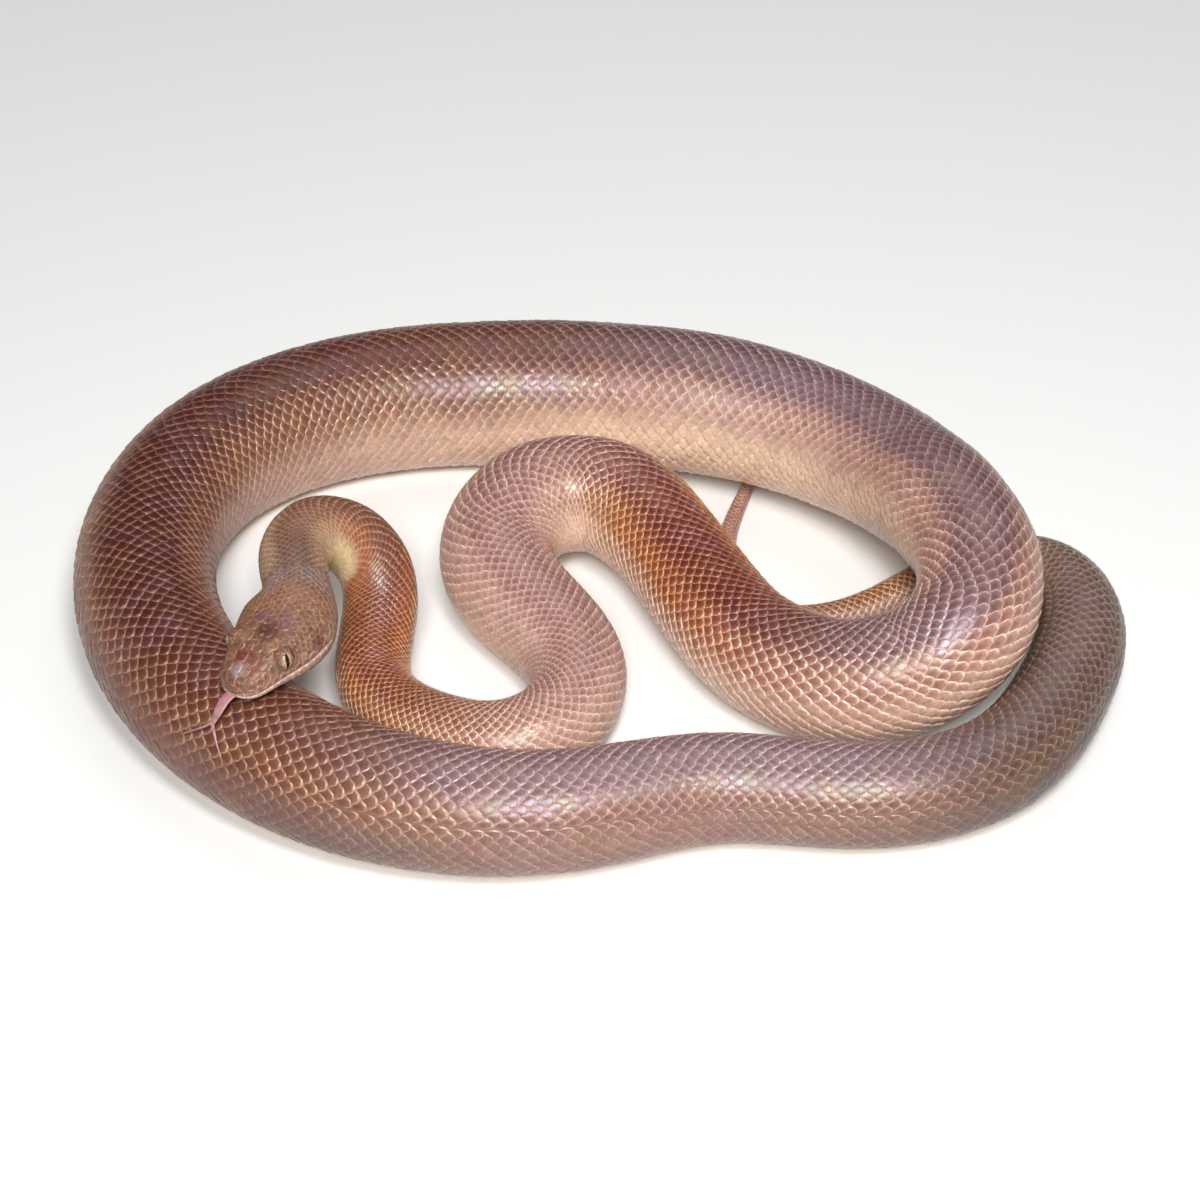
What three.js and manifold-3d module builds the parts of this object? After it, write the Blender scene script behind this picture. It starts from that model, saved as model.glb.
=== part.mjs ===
// A python of about two metres, lying coiled with its head raised on its own coil and its tongue out.
// One winding body tube is parted into named lengths; the head, eyes and forked tongue are pieces of
// their own. Millimetres, +Z up, resting on z = 0 with the origin under the middle of the coil.

import * as THREE from "three";
import { mergeVertices } from "three/addons/utils/BufferGeometryUtils.js";
import Module from "manifold-3d";

const wasm = await Module();
wasm.setup();

// ---- Driving dimensions ----

const partingGap = 0.3;
// The belly is flat at this share of the radius below the mid line.
const bellyFlat = 0.93;
const bodySides = 22;
// A new ring of the body comes after this much turn, in degrees, or this much length.
const ringTurn = 9;
const ringStep = 15;
// Brings the middle of the coil's box over the origin.
const centring = [1.23, 17.76];

// The course of the mid line from snout to tail tip: x, y and the lift of the belly off the floor.
const course = [
  // head, resting on the left coil
  [-136.3, -124.6, 46.5],
  [-125.8, -105.9, 49],
  [-117.1, -86.7, 51.5],
  // neck loop, standing up and coming down to the floor
  [-117.5, -65.5, 51.5],
  [-120, -47, 49],
  [-115, -31.5, 46],
  [-102.5, -23.5, 38.5],
  [-91.5, -26.5, 26.5],
  [-88.5, -37.5, 14.5],
  [-90.5, -55.5, 4.5],
  [-88.5, -72.5, 0.5],
  [-78.5, -87.5, 0],
  // forebody, round the front and back up in an S
  [-61.5, -99.5, 0],
  [-41, -105.5, 0],
  [-17.5, -95.5, 0],
  [-9.5, -66.5, 0],
  [-23, -39.5, 0],
  [-37, -19.5, 0.5],
  [-42.5, -1, 2.5],
  [-37, 16.5, 6.5],
  [-21.5, 29, 9],
  [-2, 30.5, 9],
  [15, 20.5, 7],
  [27, 5, 5],
  [42.5, -24.5, 2],
  [64, -59.5, 0],
  [88.5, -77, 1],
  [118, -79, 5.5],
  // midbody, up over the root of the tail and round the back
  [145, -64, 19.5],
  [149.5, -32, 28],
  [142, -7.5, 27.5],
  [127, 25, 20],
  [96, 62, 12],
  [47, 87.5, 9],
  [-6.5, 102.5, 3],
  [-62, 106, 0],
  [-116, 95, 0],
  [-162, 64.5, 0],
  [-185, 14.5, 0],
  [-181.5, -40.5, 0],
  [-156.5, -89.5, 0],
  // hind body, along the front and round the right
  [-115.5, -126.5, 0],
  [-64, -147, 0],
  [-9, -147, 0],
  [45, -134, 0],
  [100.5, -137, 0],
  [152, -119.5, 0],
  [183.5, -74.5, 0],
  [195, -20.5, 0],
  // tail, under the raised coil and out behind the forebody
  [182, 7.5, 0],
  [149, 9, 0],
  [100, -16, 0],
  [72.5, -15.5, 0],
  [55, 12, 0],
  [62.5, 66.5, 0],
  [78, 119.5, 0],
];

// Radius of the body at distances from the snout along the course.
const girth = [
  [0, 13],
  [65, 13.2],
  [110, 15.1],
  [185, 15.2],
  [240, 16.7],
  [280, 18.5],
  [330, 21.5],
  [375, 23.8],
  [415, 24.9],
  [450, 24.6],
  [490, 22.9],
  [530, 23.3],
  [570, 24.6],
  [620, 25],
  [680, 25.2],
  [740, 26.7],
  [800, 29.1],
  [860, 31.1],
  [930, 32.1],
  [1000, 31.6],
  [1070, 30.4],
  [1140, 29.1],
  [1210, 28.6],
  [1280, 27.4],
  [1345, 25.2],
  [1410, 23],
  [1475, 20.9],
  [1540, 20],
  [1600, 19.5],
  [1650, 18.7],
  [1690, 16.5],
  [1725, 12.4],
  [1760, 8.9],
  [1800, 6.6],
  [1850, 5],
  [1910, 3.6],
  [1950, 2.4],
  [1980, 1.1],
];

// The named lengths of the body and the distance from the snout at which each one ends.
const headEnd = 62;
const lengths = [
  ["neck_1", 106],
  ["neck_2", 134],
  ["neck_3", 185],
  ["neck_4", 250],
  ["forebody_1", 296],
  ["forebody_2", 376],
  ["forebody_3", 416],
  ["forebody_4", 462],
  ["forebody_5", 565],
  ["midbody_1", 635],
  ["midbody_2", 705],
  ["midbody_3", 865],
  ["midbody_4", 1045],
  ["midbody_5", 1155],
  ["midbody_6", 1285],
  ["hindbody_1", 1435],
  ["hindbody_2", 1565],
  ["hindbody_3", 1690],
  ["tail_1", 1730],
  ["tail_2", 1820],
  ["tail_3", 1870],
];
const lastLength = "tail_4";

// The head at distances from the snout: half width, height over the line of the mouth, depth under
// it, and squareness of the upper and the lower half of the section, where 2 is an ellipse.
const headShape = [
  [0, 1, 0.8, 0.7, 2, 2],
  [0.8, 4.4, 2.7, 1.9, 2.1, 2.2],
  [2.5, 7.2, 4.6, 3.1, 2.3, 2.6],
  [5.5, 9.3, 6.5, 4, 2.5, 3.1],
  [10, 11.1, 8.4, 4.6, 2.6, 3.4],
  [15, 12.8, 10, 5.3, 2.6, 3.5],
  [20, 14.7, 11, 6.6, 2.5, 3.5],
  [27, 17.2, 11.8, 8.4, 2.4, 3.4],
  [33, 18.5, 12.2, 9.7, 2.3, 3.2],
  [38, 18.9, 12.7, 10.5, 2.25, 3],
  [43, 18, 13.1, 11, 2.2, 2.7],
  [48, 16.4, 13.4, 11.3, 2.15, 2.4],
  [53, 14.8, 13.4, 11.7, 2.1, 2.2],
  [58, 13.7, 13.3, 12.1, 2.05, 2.1],
  [62, 13.2, 13.2, 12.28, 2, 2],
];
const headRings = 30;
// Angles from the crown to the throat, closer together at the line of the mouth.
const headAngles = [0, 13, 26, 38, 49, 60, 70, 79, 86, 90, 94, 103, 115, 129, 146, 163, 180];
const mouth = { depth: 1, startsAt: 0.4, gapeAt: 38, fade: 5, lowerJawInset: 0.3 };
const brow = { at: 19, length: 6, angle: 50, spread: 15, rise: 1 };
const eye = { at: 19.6, out: 10.1, up: 5.85, radius: 4.6, clearance: 0.3 };
const nostril = { at: 4.2, angle: 55, radius: 0.8 };

// The tongue's points from the tip of the snout: ahead, to the left and up.
const tongue = {
  root: [-4.5, 0, -0.1],
  stem: [
    [-0.5, -0.9, -0.1],
    [3.4, -1.9, -1.6],
    [6.9, -2.6, -4.6],
    [8.9, -3.7, -7.8],
  ],
  rightTine: [
    [10.4, -6.5, -10.3],
    [11.1, -10.3, -13.1],
    [11.8, -15.7, -16.8],
  ],
  leftTine: [
    [10.3, -2.6, -11],
    [12.8, 0.1, -14.4],
    [15, 3.2, -17.8],
  ],
  stemHalfWidth: 2.6,
  stemHalfHeight: 0.72,
  stemTaper: 0.62,
  forkHalfWidth: 0.8,
  tineTip: 0.26,
  sides: 8,
  slotClearance: 0.3,
};

// ---- Curves through given values ----

// Natural cubic curve: its bend changes evenly from point to point.
function naturalCurve(at, values) {
  const count = at.length;
  const bend = new Array(count).fill(0);
  const carry = new Array(count).fill(0);
  for (let i = 1; i < count - 1; i++) {
    const before = at[i] - at[i - 1];
    const after = at[i + 1] - at[i];
    const turn = (values[i + 1] - values[i]) / after - (values[i] - values[i - 1]) / before;
    const pivot = 2 * (before + after) - before * carry[i - 1];
    carry[i] = after / pivot;
    bend[i] = (6 * turn - before * bend[i - 1]) / pivot;
  }
  for (let i = count - 2; i > 0; i--) {
    bend[i] -= carry[i] * bend[i + 1];
  }
  return (q) => {
    const i = spanOf(at, q);
    const width = at[i + 1] - at[i];
    const a = (at[i + 1] - q) / width;
    const b = 1 - a;
    const sag = ((a ** 3 - a) * bend[i] + (b ** 3 - b) * bend[i + 1]) * (width ** 2 / 6);
    return a * values[i] + b * values[i + 1] + sag;
  };
}

// Steady cubic curve: it never swings past the values, so what is level stays level.
function steadyCurve(at, values) {
  const last = at.length - 1;
  const rise = (i) => (values[i + 1] - values[i]) / (at[i + 1] - at[i]);
  const slope = values.map((value, i) => {
    if (i === 0) return rise(0);
    if (i === last) return rise(last - 1);
    const before = rise(i - 1);
    const after = rise(i);
    return before * after > 0 ? (2 * before * after) / (before + after) : 0;
  });
  return (q) => {
    const i = spanOf(at, q);
    const width = at[i + 1] - at[i];
    const t = (q - at[i]) / width;
    const s = 1 - t;
    const ends = s * s * (1 + 2 * t) * values[i] + t * t * (1 + 2 * s) * values[i + 1];
    return ends + s * t * width * (s * slope[i] - t * slope[i + 1]);
  };
}

function spanOf(at, q) {
  let i = 0;
  while (i < at.length - 2 && at[i + 1] < q) {
    i++;
  }
  return i;
}

const columnOf = (rows, column) => rows.map((row) => row[column]);

// ---- The mid line ----

const radiusAt = steadyCurve(columnOf(girth, 0), columnOf(girth, 1));

// Distances between the course's points, along straight lines.
const chords = course.reduce((sums, point, i) => {
  const before = course[Math.max(i - 1, 0)];
  const step = Math.hypot(point[0] - before[0], point[1] - before[1], point[2] - before[2]);
  return [...sums, (sums[i - 1] ?? 0) + step];
}, []);
const courseX = naturalCurve(chords, columnOf(course, 0));
const courseY = naturalCurve(chords, columnOf(course, 1));
const courseLift = steadyCurve(chords, columnOf(course, 2));

// A fine walk along the course turns distance along the body into the curves' own measure.
const walkSteps = 4000;
const walk = [{ q: 0, distance: 0 }];
const walkPoint = (q) => new THREE.Vector3(courseX(q), courseY(q), courseLift(q));
for (let i = 1; i <= walkSteps; i++) {
  const q = (chords.at(-1) * i) / walkSteps;
  const step = walkPoint(q).distanceTo(walkPoint(walk[i - 1].q));
  walk.push({ q, distance: walk[i - 1].distance + step });
}
const bodyLength = walk.at(-1).distance;

function measureAt(distance) {
  const i = Math.max(1, walk.findIndex((mark) => mark.distance >= Math.min(distance, bodyLength)));
  const from = walk[i - 1];
  const to = walk[i];
  return from.q + ((to.q - from.q) * (distance - from.distance)) / (to.distance - from.distance);
}

// Middle of the section at a distance from the snout, the way to the tail, the animal's left and up.
function frameAt(distance) {
  const q = measureAt(distance);
  const reach = 0.5;
  const way = walkPoint(q + reach).sub(walkPoint(q - reach)).normalize();
  const left = new THREE.Vector3().crossVectors(way, new THREE.Vector3(0, 0, 1)).normalize();
  const up = new THREE.Vector3().crossVectors(left, way);
  const height = bellyFlat * radiusAt(distance) + courseLift(q);
  const middle = new THREE.Vector3(courseX(q) + centring[0], courseY(q) + centring[1], height);
  return { middle, way, left, up };
}

const inFrame = (frame, aside, above, along = 0) =>
  frame.middle
    .clone()
    .addScaledVector(frame.left, aside)
    .addScaledVector(frame.up, above)
    .addScaledVector(frame.way, along);

// ---- Closed tubes from rings of points ----

// Rings run from the crown over the animal's left; each end closes on a point of its own.
function closedTube(rings, startPoint, endPoint) {
  const sides = rings[0].length;
  const points = [...rings.flat(), startPoint, endPoint];
  const startIndex = points.length - 2;
  const endIndex = points.length - 1;
  const lastRing = (rings.length - 1) * sides;
  const faces = [];
  for (let side = 0; side < sides; side++) {
    const next = (side + 1) % sides;
    faces.push(startIndex, next, side);
    faces.push(endIndex, lastRing + side, lastRing + next);
    for (let ring = 0; ring < rings.length - 1; ring++) {
      const a = ring * sides + side;
      const b = ring * sides + next;
      faces.push(a, b, b + sides);
      faces.push(a, b + sides, a + sides);
    }
  }
  const geometry = new THREE.BufferGeometry();
  geometry.setAttribute("position", new THREE.Float32BufferAttribute(points.flatMap((p) => p.toArray()), 3));
  geometry.setIndex(faces);
  return geometry;
}

// ---- Joining and cutting ----

function solidOf(geometry) {
  const bare = geometry.clone();
  bare.deleteAttribute("normal");
  bare.deleteAttribute("uv");
  const merged = mergeVertices(bare, 1e-4);
  const vertProperties = new Float32Array(merged.attributes.position.array);
  const triVerts = new Uint32Array(merged.index.array);
  return new wasm.Manifold(new wasm.Mesh({ numProp: 3, vertProperties, triVerts }));
}

// The largest closed body of a solid, as a geometry.
function geometryOf(solid) {
  const bodies = solid.decompose().sort((one, other) => other.volume() - one.volume());
  const mesh = bodies[0].getMesh();
  const geometry = new THREE.BufferGeometry();
  geometry.setAttribute("position", new THREE.Float32BufferAttribute(mesh.vertProperties, 3));
  geometry.setIndex(new THREE.Uint32BufferAttribute(mesh.triVerts, 1));
  return geometry;
}

// ---- Body lengths ----

function turnBetween(from, to) {
  const looks = 16;
  let turn = 0;
  for (let i = 0; i < looks; i++) {
    const one = frameAt(from + ((to - from) * i) / looks).way;
    const other = frameAt(from + ((to - from) * (i + 1)) / looks).way;
    turn += THREE.MathUtils.radToDeg(one.angleTo(other));
  }
  return turn;
}

function bodyRing(frame, radius, along) {
  return Array.from({ length: bodySides }, (unused, side) => {
    const angle = (2 * Math.PI * side) / bodySides;
    const above = Math.max(Math.cos(angle), -bellyFlat) * radius;
    return inFrame(frame, Math.sin(angle) * radius, above, along);
  });
}

// Both faces of a parting lie square to the mid line, half the gap to each side of it.
function bodyLengthGeometry(from, to) {
  const steps = Math.ceil(Math.max(turnBetween(from, to) / ringTurn, (to - from) / ringStep));
  const rings = [];
  for (let i = 0; i <= steps; i++) {
    const distance = from + ((to - from) * i) / steps;
    const along = i === 0 ? partingGap / 2 : i === steps ? -partingGap / 2 : 0;
    rings.push(bodyRing(frameAt(distance), radiusAt(distance), along));
  }
  const start = inFrame(frameAt(from), 0, 0, partingGap / 2);
  const end = inFrame(frameAt(to), 0, 0, -partingGap / 2);
  return closedTube(rings, start, end);
}

function tailEndGeometry(from) {
  const steps = Math.ceil((bodyLength - from) / ringStep);
  const rings = [];
  for (let i = 0; i <= steps; i++) {
    const distance = from + ((bodyLength - from) * i) / steps;
    rings.push(bodyRing(frameAt(distance), radiusAt(distance), i === 0 ? partingGap / 2 : 0));
  }
  const start = inFrame(frameAt(from), 0, 0, partingGap / 2);
  const tip = inFrame(frameAt(bodyLength), 0, 0, radiusAt(bodyLength));
  return closedTube(rings, start, tip);
}

// ---- Head ----

const headCurve = (column) => steadyCurve(columnOf(headShape, 0), columnOf(headShape, column));
const headWidth = headCurve(1);
const headHeight = headCurve(2);
const headDepth = headCurve(3);
const crownSquareness = headCurve(4);
const jawSquareness = headCurve(5);

const bell = (value, middle, spread) => Math.exp(-(((value - middle) / spread) ** 2));

// A point of the head's section: distance aside and above the line of the mouth.
function headOutline(distance, degrees) {
  const angle = THREE.MathUtils.degToRad(degrees);
  const upper = degrees < 90;
  const power = 2 / (upper ? crownSquareness(distance) : jawSquareness(distance));
  const fullDepth = headDepth(distance) / bellyFlat;
  const opened = THREE.MathUtils.smoothstep(distance, 0, mouth.startsAt);
  const closes = THREE.MathUtils.smoothstep(mouth.gapeAt - distance, 0, mouth.fade);
  const nearNeck = THREE.MathUtils.smoothstep(headEnd - distance, 0, mouth.gapeAt / 2);
  let aside = headWidth(distance) * Math.sin(angle) ** power;
  let above = headHeight(distance) * Math.abs(Math.cos(angle)) ** power;
  if (!upper) {
    above = -Math.min((above * fullDepth) / headHeight(distance), bellyFlat * fullDepth);
    aside -= Math.min(mouth.lowerJawInset * nearNeck, aside * 0.15);
  }
  if (degrees === 90) {
    above = 0;
    aside -= Math.min(mouth.depth * opened * closes, aside * 0.4);
  }
  const swell = brow.rise * bell(distance, brow.at, brow.length) * bell(degrees, brow.angle, brow.spread);
  const grow = 1 + swell / Math.max(Math.hypot(aside, above), 1);
  return [aside * grow, above * grow];
}

function headRing(distance, along) {
  const frame = frameAt(distance);
  const left = headAngles.map((degrees) => headOutline(distance, degrees));
  const right = left.slice(1, -1).reverse();
  const leftPoints = left.map(([aside, above]) => inFrame(frame, aside, above, along));
  const rightPoints = right.map(([aside, above]) => inFrame(frame, -aside, above, along));
  return [...leftPoints, ...rightPoints];
}

function headShell() {
  const firstRing = 0.15;
  const rings = [];
  for (let i = 0; i <= headRings; i++) {
    const distance = firstRing + (headEnd - firstRing) * (i / headRings) ** 1.5;
    rings.push(headRing(distance, i === headRings ? -partingGap / 2 : 0));
  }
  const tip = inFrame(frameAt(0), 0, 0, 0);
  const end = inFrame(frameAt(headEnd), 0, 0, -partingGap / 2);
  return closedTube(rings, tip, end);
}

function ballAt(radius, detail, middle) {
  return new THREE.IcosahedronGeometry(radius, detail).translate(middle.x, middle.y, middle.z);
}

const eyeMiddle = (side) => inFrame(frameAt(eye.at), side * eye.out, eye.up);

function nostrilMiddle(side) {
  const [aside, above] = headOutline(nostril.at, nostril.angle);
  return inFrame(frameAt(nostril.at), side * aside, above);
}

function headGeometry() {
  let head = solidOf(headShell());
  for (const side of [1, -1]) {
    head = head.subtract(solidOf(ballAt(eye.radius + eye.clearance, 3, eyeMiddle(side))));
    head = head.subtract(solidOf(ballAt(nostril.radius, 1, nostrilMiddle(side))));
  }
  head = head.subtract(solidOf(tongueStem(tongue.slotClearance)));
  return geometryOf(head);
}

// ---- Tongue ----

function fromSnout([ahead, aside, above]) {
  const frame = frameAt(0);
  const forward = frame.way.clone().setZ(0).normalize().negate();
  const up = new THREE.Vector3(0, 0, 1);
  const point = frame.middle.clone().addScaledVector(forward, ahead);
  return point.addScaledVector(frame.left, aside).addScaledVector(up, above);
}

// A flat strip of oval section along a curve, tapering from one size to another.
function strip(points, from, to, steps, extra = 0) {
  const curve = new THREE.CatmullRomCurve3(points);
  const rings = [];
  for (let i = 0; i <= steps; i++) {
    const t = i / steps;
    const middle = curve.getPoint(t);
    const way = curve.getTangent(t);
    const left = new THREE.Vector3().crossVectors(way, new THREE.Vector3(0, 0, 1)).normalize().negate();
    const up = new THREE.Vector3().crossVectors(way, left);
    const halfWidth = THREE.MathUtils.lerp(from[0], to[0], t) + extra;
    const halfHeight = THREE.MathUtils.lerp(from[1], to[1], t) + extra;
    rings.push(
      Array.from({ length: tongue.sides }, (unused, side) => {
        const angle = (2 * Math.PI * side) / tongue.sides;
        const point = middle.clone().addScaledVector(left, -Math.sin(angle) * halfWidth);
        return point.addScaledVector(up, Math.cos(angle) * halfHeight);
      }),
    );
  }
  const behind = curve.getTangent(0).multiplyScalar(-extra);
  return closedTube(rings, points[0].clone().add(behind), points.at(-1).clone());
}

function tongueStem(extra = 0) {
  const points = [tongue.root, ...tongue.stem].map(fromSnout);
  const root = [tongue.stemHalfWidth, tongue.stemHalfHeight];
  const fork = [tongue.stemHalfWidth * tongue.stemTaper, tongue.stemHalfHeight * 0.85];
  return strip(points, root, fork, 9, extra);
}

function tongueTine(tine) {
  const points = [tongue.stem.at(-2), tongue.stem.at(-1), ...tine].map(fromSnout);
  const root = [tongue.forkHalfWidth, tongue.stemHalfHeight * 0.8];
  return strip(points, root, [tongue.tineTip, tongue.tineTip], 8);
}

function tongueGeometry() {
  const stem = solidOf(tongueStem());
  const right = solidOf(tongueTine(tongue.rightTine));
  const left = solidOf(tongueTine(tongue.leftTine));
  return geometryOf(stem.add(right).add(left));
}

// ---- Finishes ----

const finish = (color, roughness) => new THREE.MeshStandardMaterial({ color, roughness, metalness: 0 });
const scalesDark = finish(0x8a5545, 0.35);
const scalesFore = finish(0x9a6448, 0.35);
const scalesTail = finish(0xa86a48, 0.35);
const headSkin = finish(0xa06f5d, 0.4);
const eyeGloss = finish(0xb9a57c, 0.1);
const tonguePink = finish(0xd79aa0, 0.3);

// ---- The animal ----

function placed(name, geometry, material, anchor) {
  const mesh = new THREE.Mesh(geometry.translate(-anchor.x, -anchor.y, -anchor.z), material);
  mesh.name = name;
  mesh.position.copy(anchor);
  return mesh;
}

const snake = new THREE.Group();
snake.name = "coiled_python";

function addBody() {
  let from = headEnd;
  for (const [name, to] of lengths) {
    const skin = name.startsWith("tail") ? scalesTail : name.startsWith("neck") ? scalesFore : scalesDark;
    snake.add(placed(name, bodyLengthGeometry(from, to), skin, frameAt((from + to) / 2).middle));
    from = to;
  }
  const tailAnchor = frameAt((from + bodyLength) / 2).middle;
  snake.add(placed(lastLength, tailEndGeometry(from), scalesTail, tailAnchor));
}

function addHead() {
  const skull = frameAt(eye.at).middle;
  snake.add(placed("head", headGeometry(), headSkin, skull));
  snake.add(placed("eye_left", ballAt(eye.radius, 3, eyeMiddle(1)), eyeGloss, eyeMiddle(1)));
  snake.add(placed("eye_right", ballAt(eye.radius, 3, eyeMiddle(-1)), eyeGloss, eyeMiddle(-1)));
  snake.add(placed("tongue", tongueGeometry(), tonguePink, fromSnout(tongue.stem[0])));
}

addBody();
addHead();

export default snake;
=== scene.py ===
# A python of about two metres, coiled at rest with its head on its own coil and its tongue out.
# One skin lies under a coat of overlapping scales, belly scutes and head plates. Sizes are in
# millimetres and become metres as each mesh is made; +Z is up.
import math

import bpy
import numpy as np
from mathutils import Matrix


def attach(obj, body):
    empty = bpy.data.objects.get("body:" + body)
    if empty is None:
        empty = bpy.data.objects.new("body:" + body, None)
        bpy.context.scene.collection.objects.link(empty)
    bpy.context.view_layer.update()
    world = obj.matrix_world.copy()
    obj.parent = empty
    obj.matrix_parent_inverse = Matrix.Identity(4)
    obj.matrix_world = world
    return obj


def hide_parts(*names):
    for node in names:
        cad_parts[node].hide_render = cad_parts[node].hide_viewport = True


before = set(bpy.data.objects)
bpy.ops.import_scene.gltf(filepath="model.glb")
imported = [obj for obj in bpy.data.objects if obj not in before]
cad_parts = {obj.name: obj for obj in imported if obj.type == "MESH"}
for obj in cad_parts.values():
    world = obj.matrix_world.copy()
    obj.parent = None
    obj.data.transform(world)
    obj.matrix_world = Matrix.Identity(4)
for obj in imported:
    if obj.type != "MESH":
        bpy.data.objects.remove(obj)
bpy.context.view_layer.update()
mm = 0.001
chance = np.random.default_rng(41)

# The course of the mid line from snout to tail tip, in millimetres: x, y and the lift of the
# belly off the floor, and the radius at distances from the snout along that line.
body = {
    "course": [
        [-136.3, -124.6, 46.5], [-125.8, -105.9, 49], [-117.1, -86.7, 51.5],
        [-117.5, -65.5, 51.5], [-120, -47, 49], [-115, -31.5, 46], [-102.5, -23.5, 38.5],
        [-91.5, -26.5, 26.5], [-88.5, -37.5, 14.5], [-90.5, -55.5, 4.5], [-88.5, -72.5, 0.5],
        [-78.5, -87.5, 0], [-61.5, -99.5, 0], [-41, -105.5, 0], [-17.5, -95.5, 0],
        [-9.5, -66.5, 0], [-23, -39.5, 0], [-37, -19.5, 0.5], [-42.5, -1, 2.5],
        [-37, 16.5, 6.5], [-21.5, 29, 9], [-2, 30.5, 9], [15, 20.5, 7], [27, 5, 5],
        [42.5, -24.5, 2], [64, -59.5, 0], [88.5, -77, 1], [118, -79, 5.5], [145, -64, 19.5],
        [149.5, -32, 28], [142, -7.5, 27.5], [127, 25, 20], [96, 62, 12], [47, 87.5, 9],
        [-6.5, 102.5, 3], [-62, 106, 0], [-116, 95, 0], [-162, 64.5, 0], [-185, 14.5, 0],
        [-181.5, -40.5, 0], [-156.5, -89.5, 0], [-115.5, -126.5, 0], [-64, -147, 0],
        [-9, -147, 0], [45, -134, 0], [100.5, -137, 0], [152, -119.5, 0], [183.5, -74.5, 0],
        [195, -20.5, 0], [182, 7.5, 0], [149, 9, 0], [100, -16, 0], [72.5, -15.5, 0],
        [55, 12, 0], [62.5, 66.5, 0], [78, 119.5, 0],
    ],
    "girth": [
        [0, 13], [65, 13.2], [110, 15.1], [185, 15.2], [240, 16.7], [280, 18.5], [330, 21.5],
        [375, 23.8], [415, 24.9], [450, 24.6], [490, 22.9], [530, 23.3], [570, 24.6],
        [620, 25], [680, 25.2], [740, 26.7], [800, 29.1], [860, 31.1], [930, 32.1],
        [1000, 31.6], [1070, 30.4], [1140, 29.1], [1210, 28.6], [1280, 27.4], [1345, 25.2],
        [1410, 23], [1475, 20.9], [1540, 20], [1600, 19.5], [1650, 18.7], [1690, 16.5],
        [1725, 12.4], [1760, 8.9], [1800, 6.6], [1850, 5], [1910, 3.6], [1950, 2.4],
        [1980, 1.1],
    ],
    "centring": (1.23, 17.76),
    "bellyFlat": 0.93,
    "bellyEase": 0.07,
    "headEnd": 62,
}


# Natural cubic curve: the bends at the points solve one line of equations, and between two
# points the value is the straight line less a cubic sag that the two bends set.
def naturalCurve(at, values):
    at, values = np.asarray(at, float), np.asarray(values, float)
    width = np.diff(at)
    inner = np.arange(1, len(at) - 1)
    system = np.eye(len(at))
    system[inner, inner - 1] = width[:-1]
    system[inner, inner] = 2 * (width[:-1] + width[1:])
    system[inner, inner + 1] = width[1:]
    turn = np.zeros(len(at))
    turn[inner] = 6 * np.diff(np.diff(values) / width)
    bend = np.linalg.solve(system, turn)

    def curve(q):
        i = np.clip(np.searchsorted(at, q) - 1, 0, len(at) - 2)
        a = (at[i + 1] - q) / width[i]
        b = 1 - a
        sag = ((a**3 - a) * bend[i] + (b**3 - b) * bend[i + 1]) * width[i] ** 2 / 6
        return a * values[i] + b * values[i + 1] + sag

    return curve


# Steady cubic curve: a Hermite cubic whose slope at each point is the harmonic mean of the
# slopes beside it, or level at a peak, so that it never swings past the values.
def steadyCurve(at, values):
    at, values = np.asarray(at, float), np.asarray(values, float)
    width = np.diff(at)
    rise = np.diff(values) / width
    before, after = rise[:-1], rise[1:]
    same = before * after > 0
    mean = np.where(same, 2 * before * after / np.where(same, before + after, 1), 0)
    slope = np.concatenate([rise[:1], mean, rise[-1:]])

    def curve(q):
        i = np.clip(np.searchsorted(at, q) - 1, 0, len(at) - 2)
        t = np.clip((q - at[i]) / width[i], 0, 1)
        s = 1 - t
        ends = s * s * (1 + 2 * t) * values[i] + t * t * (1 + 2 * s) * values[i + 1]
        return ends + s * t * width[i] * (s * slope[i] - t * slope[i + 1])

    return curve


def smoothStep(value, low, high):
    t = np.clip((value - low) / (high - low), 0, 1)
    return t * t * (3 - 2 * t)


def bell(value, middle, spread):
    return np.exp(-(((value - middle) / spread) ** 2))


def unit(vectors):
    return vectors / np.linalg.norm(vectors, axis=-1, keepdims=True)


# Way from the first point to each point, along the straight lines between them.
def walked(points):
    return np.concatenate([[0], np.cumsum(np.linalg.norm(np.diff(points, axis=0), axis=1))])


# Angles that share out one full turn.
def fullTurn(count):
    return 2 * np.pi * np.arange(count) / count


# Angle folded into the half turn to each side of the crown.
def folded(angle):
    return (angle + np.pi) % (2 * np.pi) - np.pi


# The mid line as one table over distance from the snout: place, the way to the tail, the
# animal's left and up. Each column is read between its rows by a straight line.
course = np.array(body["course"], float)
chords = walked(course)
walk = np.linspace(0, chords[-1], 9001)
lineX = naturalCurve(chords, course[:, 0])(walk) + body["centring"][0]
lineY = naturalCurve(chords, course[:, 1])(walk) + body["centring"][1]
lineLift = steadyCurve(chords, course[:, 2])(walk)
linePoints = np.stack([lineX, lineY, lineLift], 1)
lineAt = walked(linePoints)
bodyLength = lineAt[-1]
lineWay = unit(np.gradient(linePoints, lineAt, axis=0))
lineLeft = unit(np.cross(lineWay, [0, 0, 1]))
lineUp = np.cross(lineLeft, lineWay)
girth = np.array(body["girth"], float)
lineRadius = steadyCurve(girth[:, 0], girth[:, 1])(lineAt)
linePoints[:, 2] += body["bellyFlat"] * lineRadius
lineTable = np.concatenate([linePoints, lineWay, lineLeft, lineUp, lineRadius[:, None]], 1)
print(f"mid line: {bodyLength:.0f} mm long")


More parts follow.
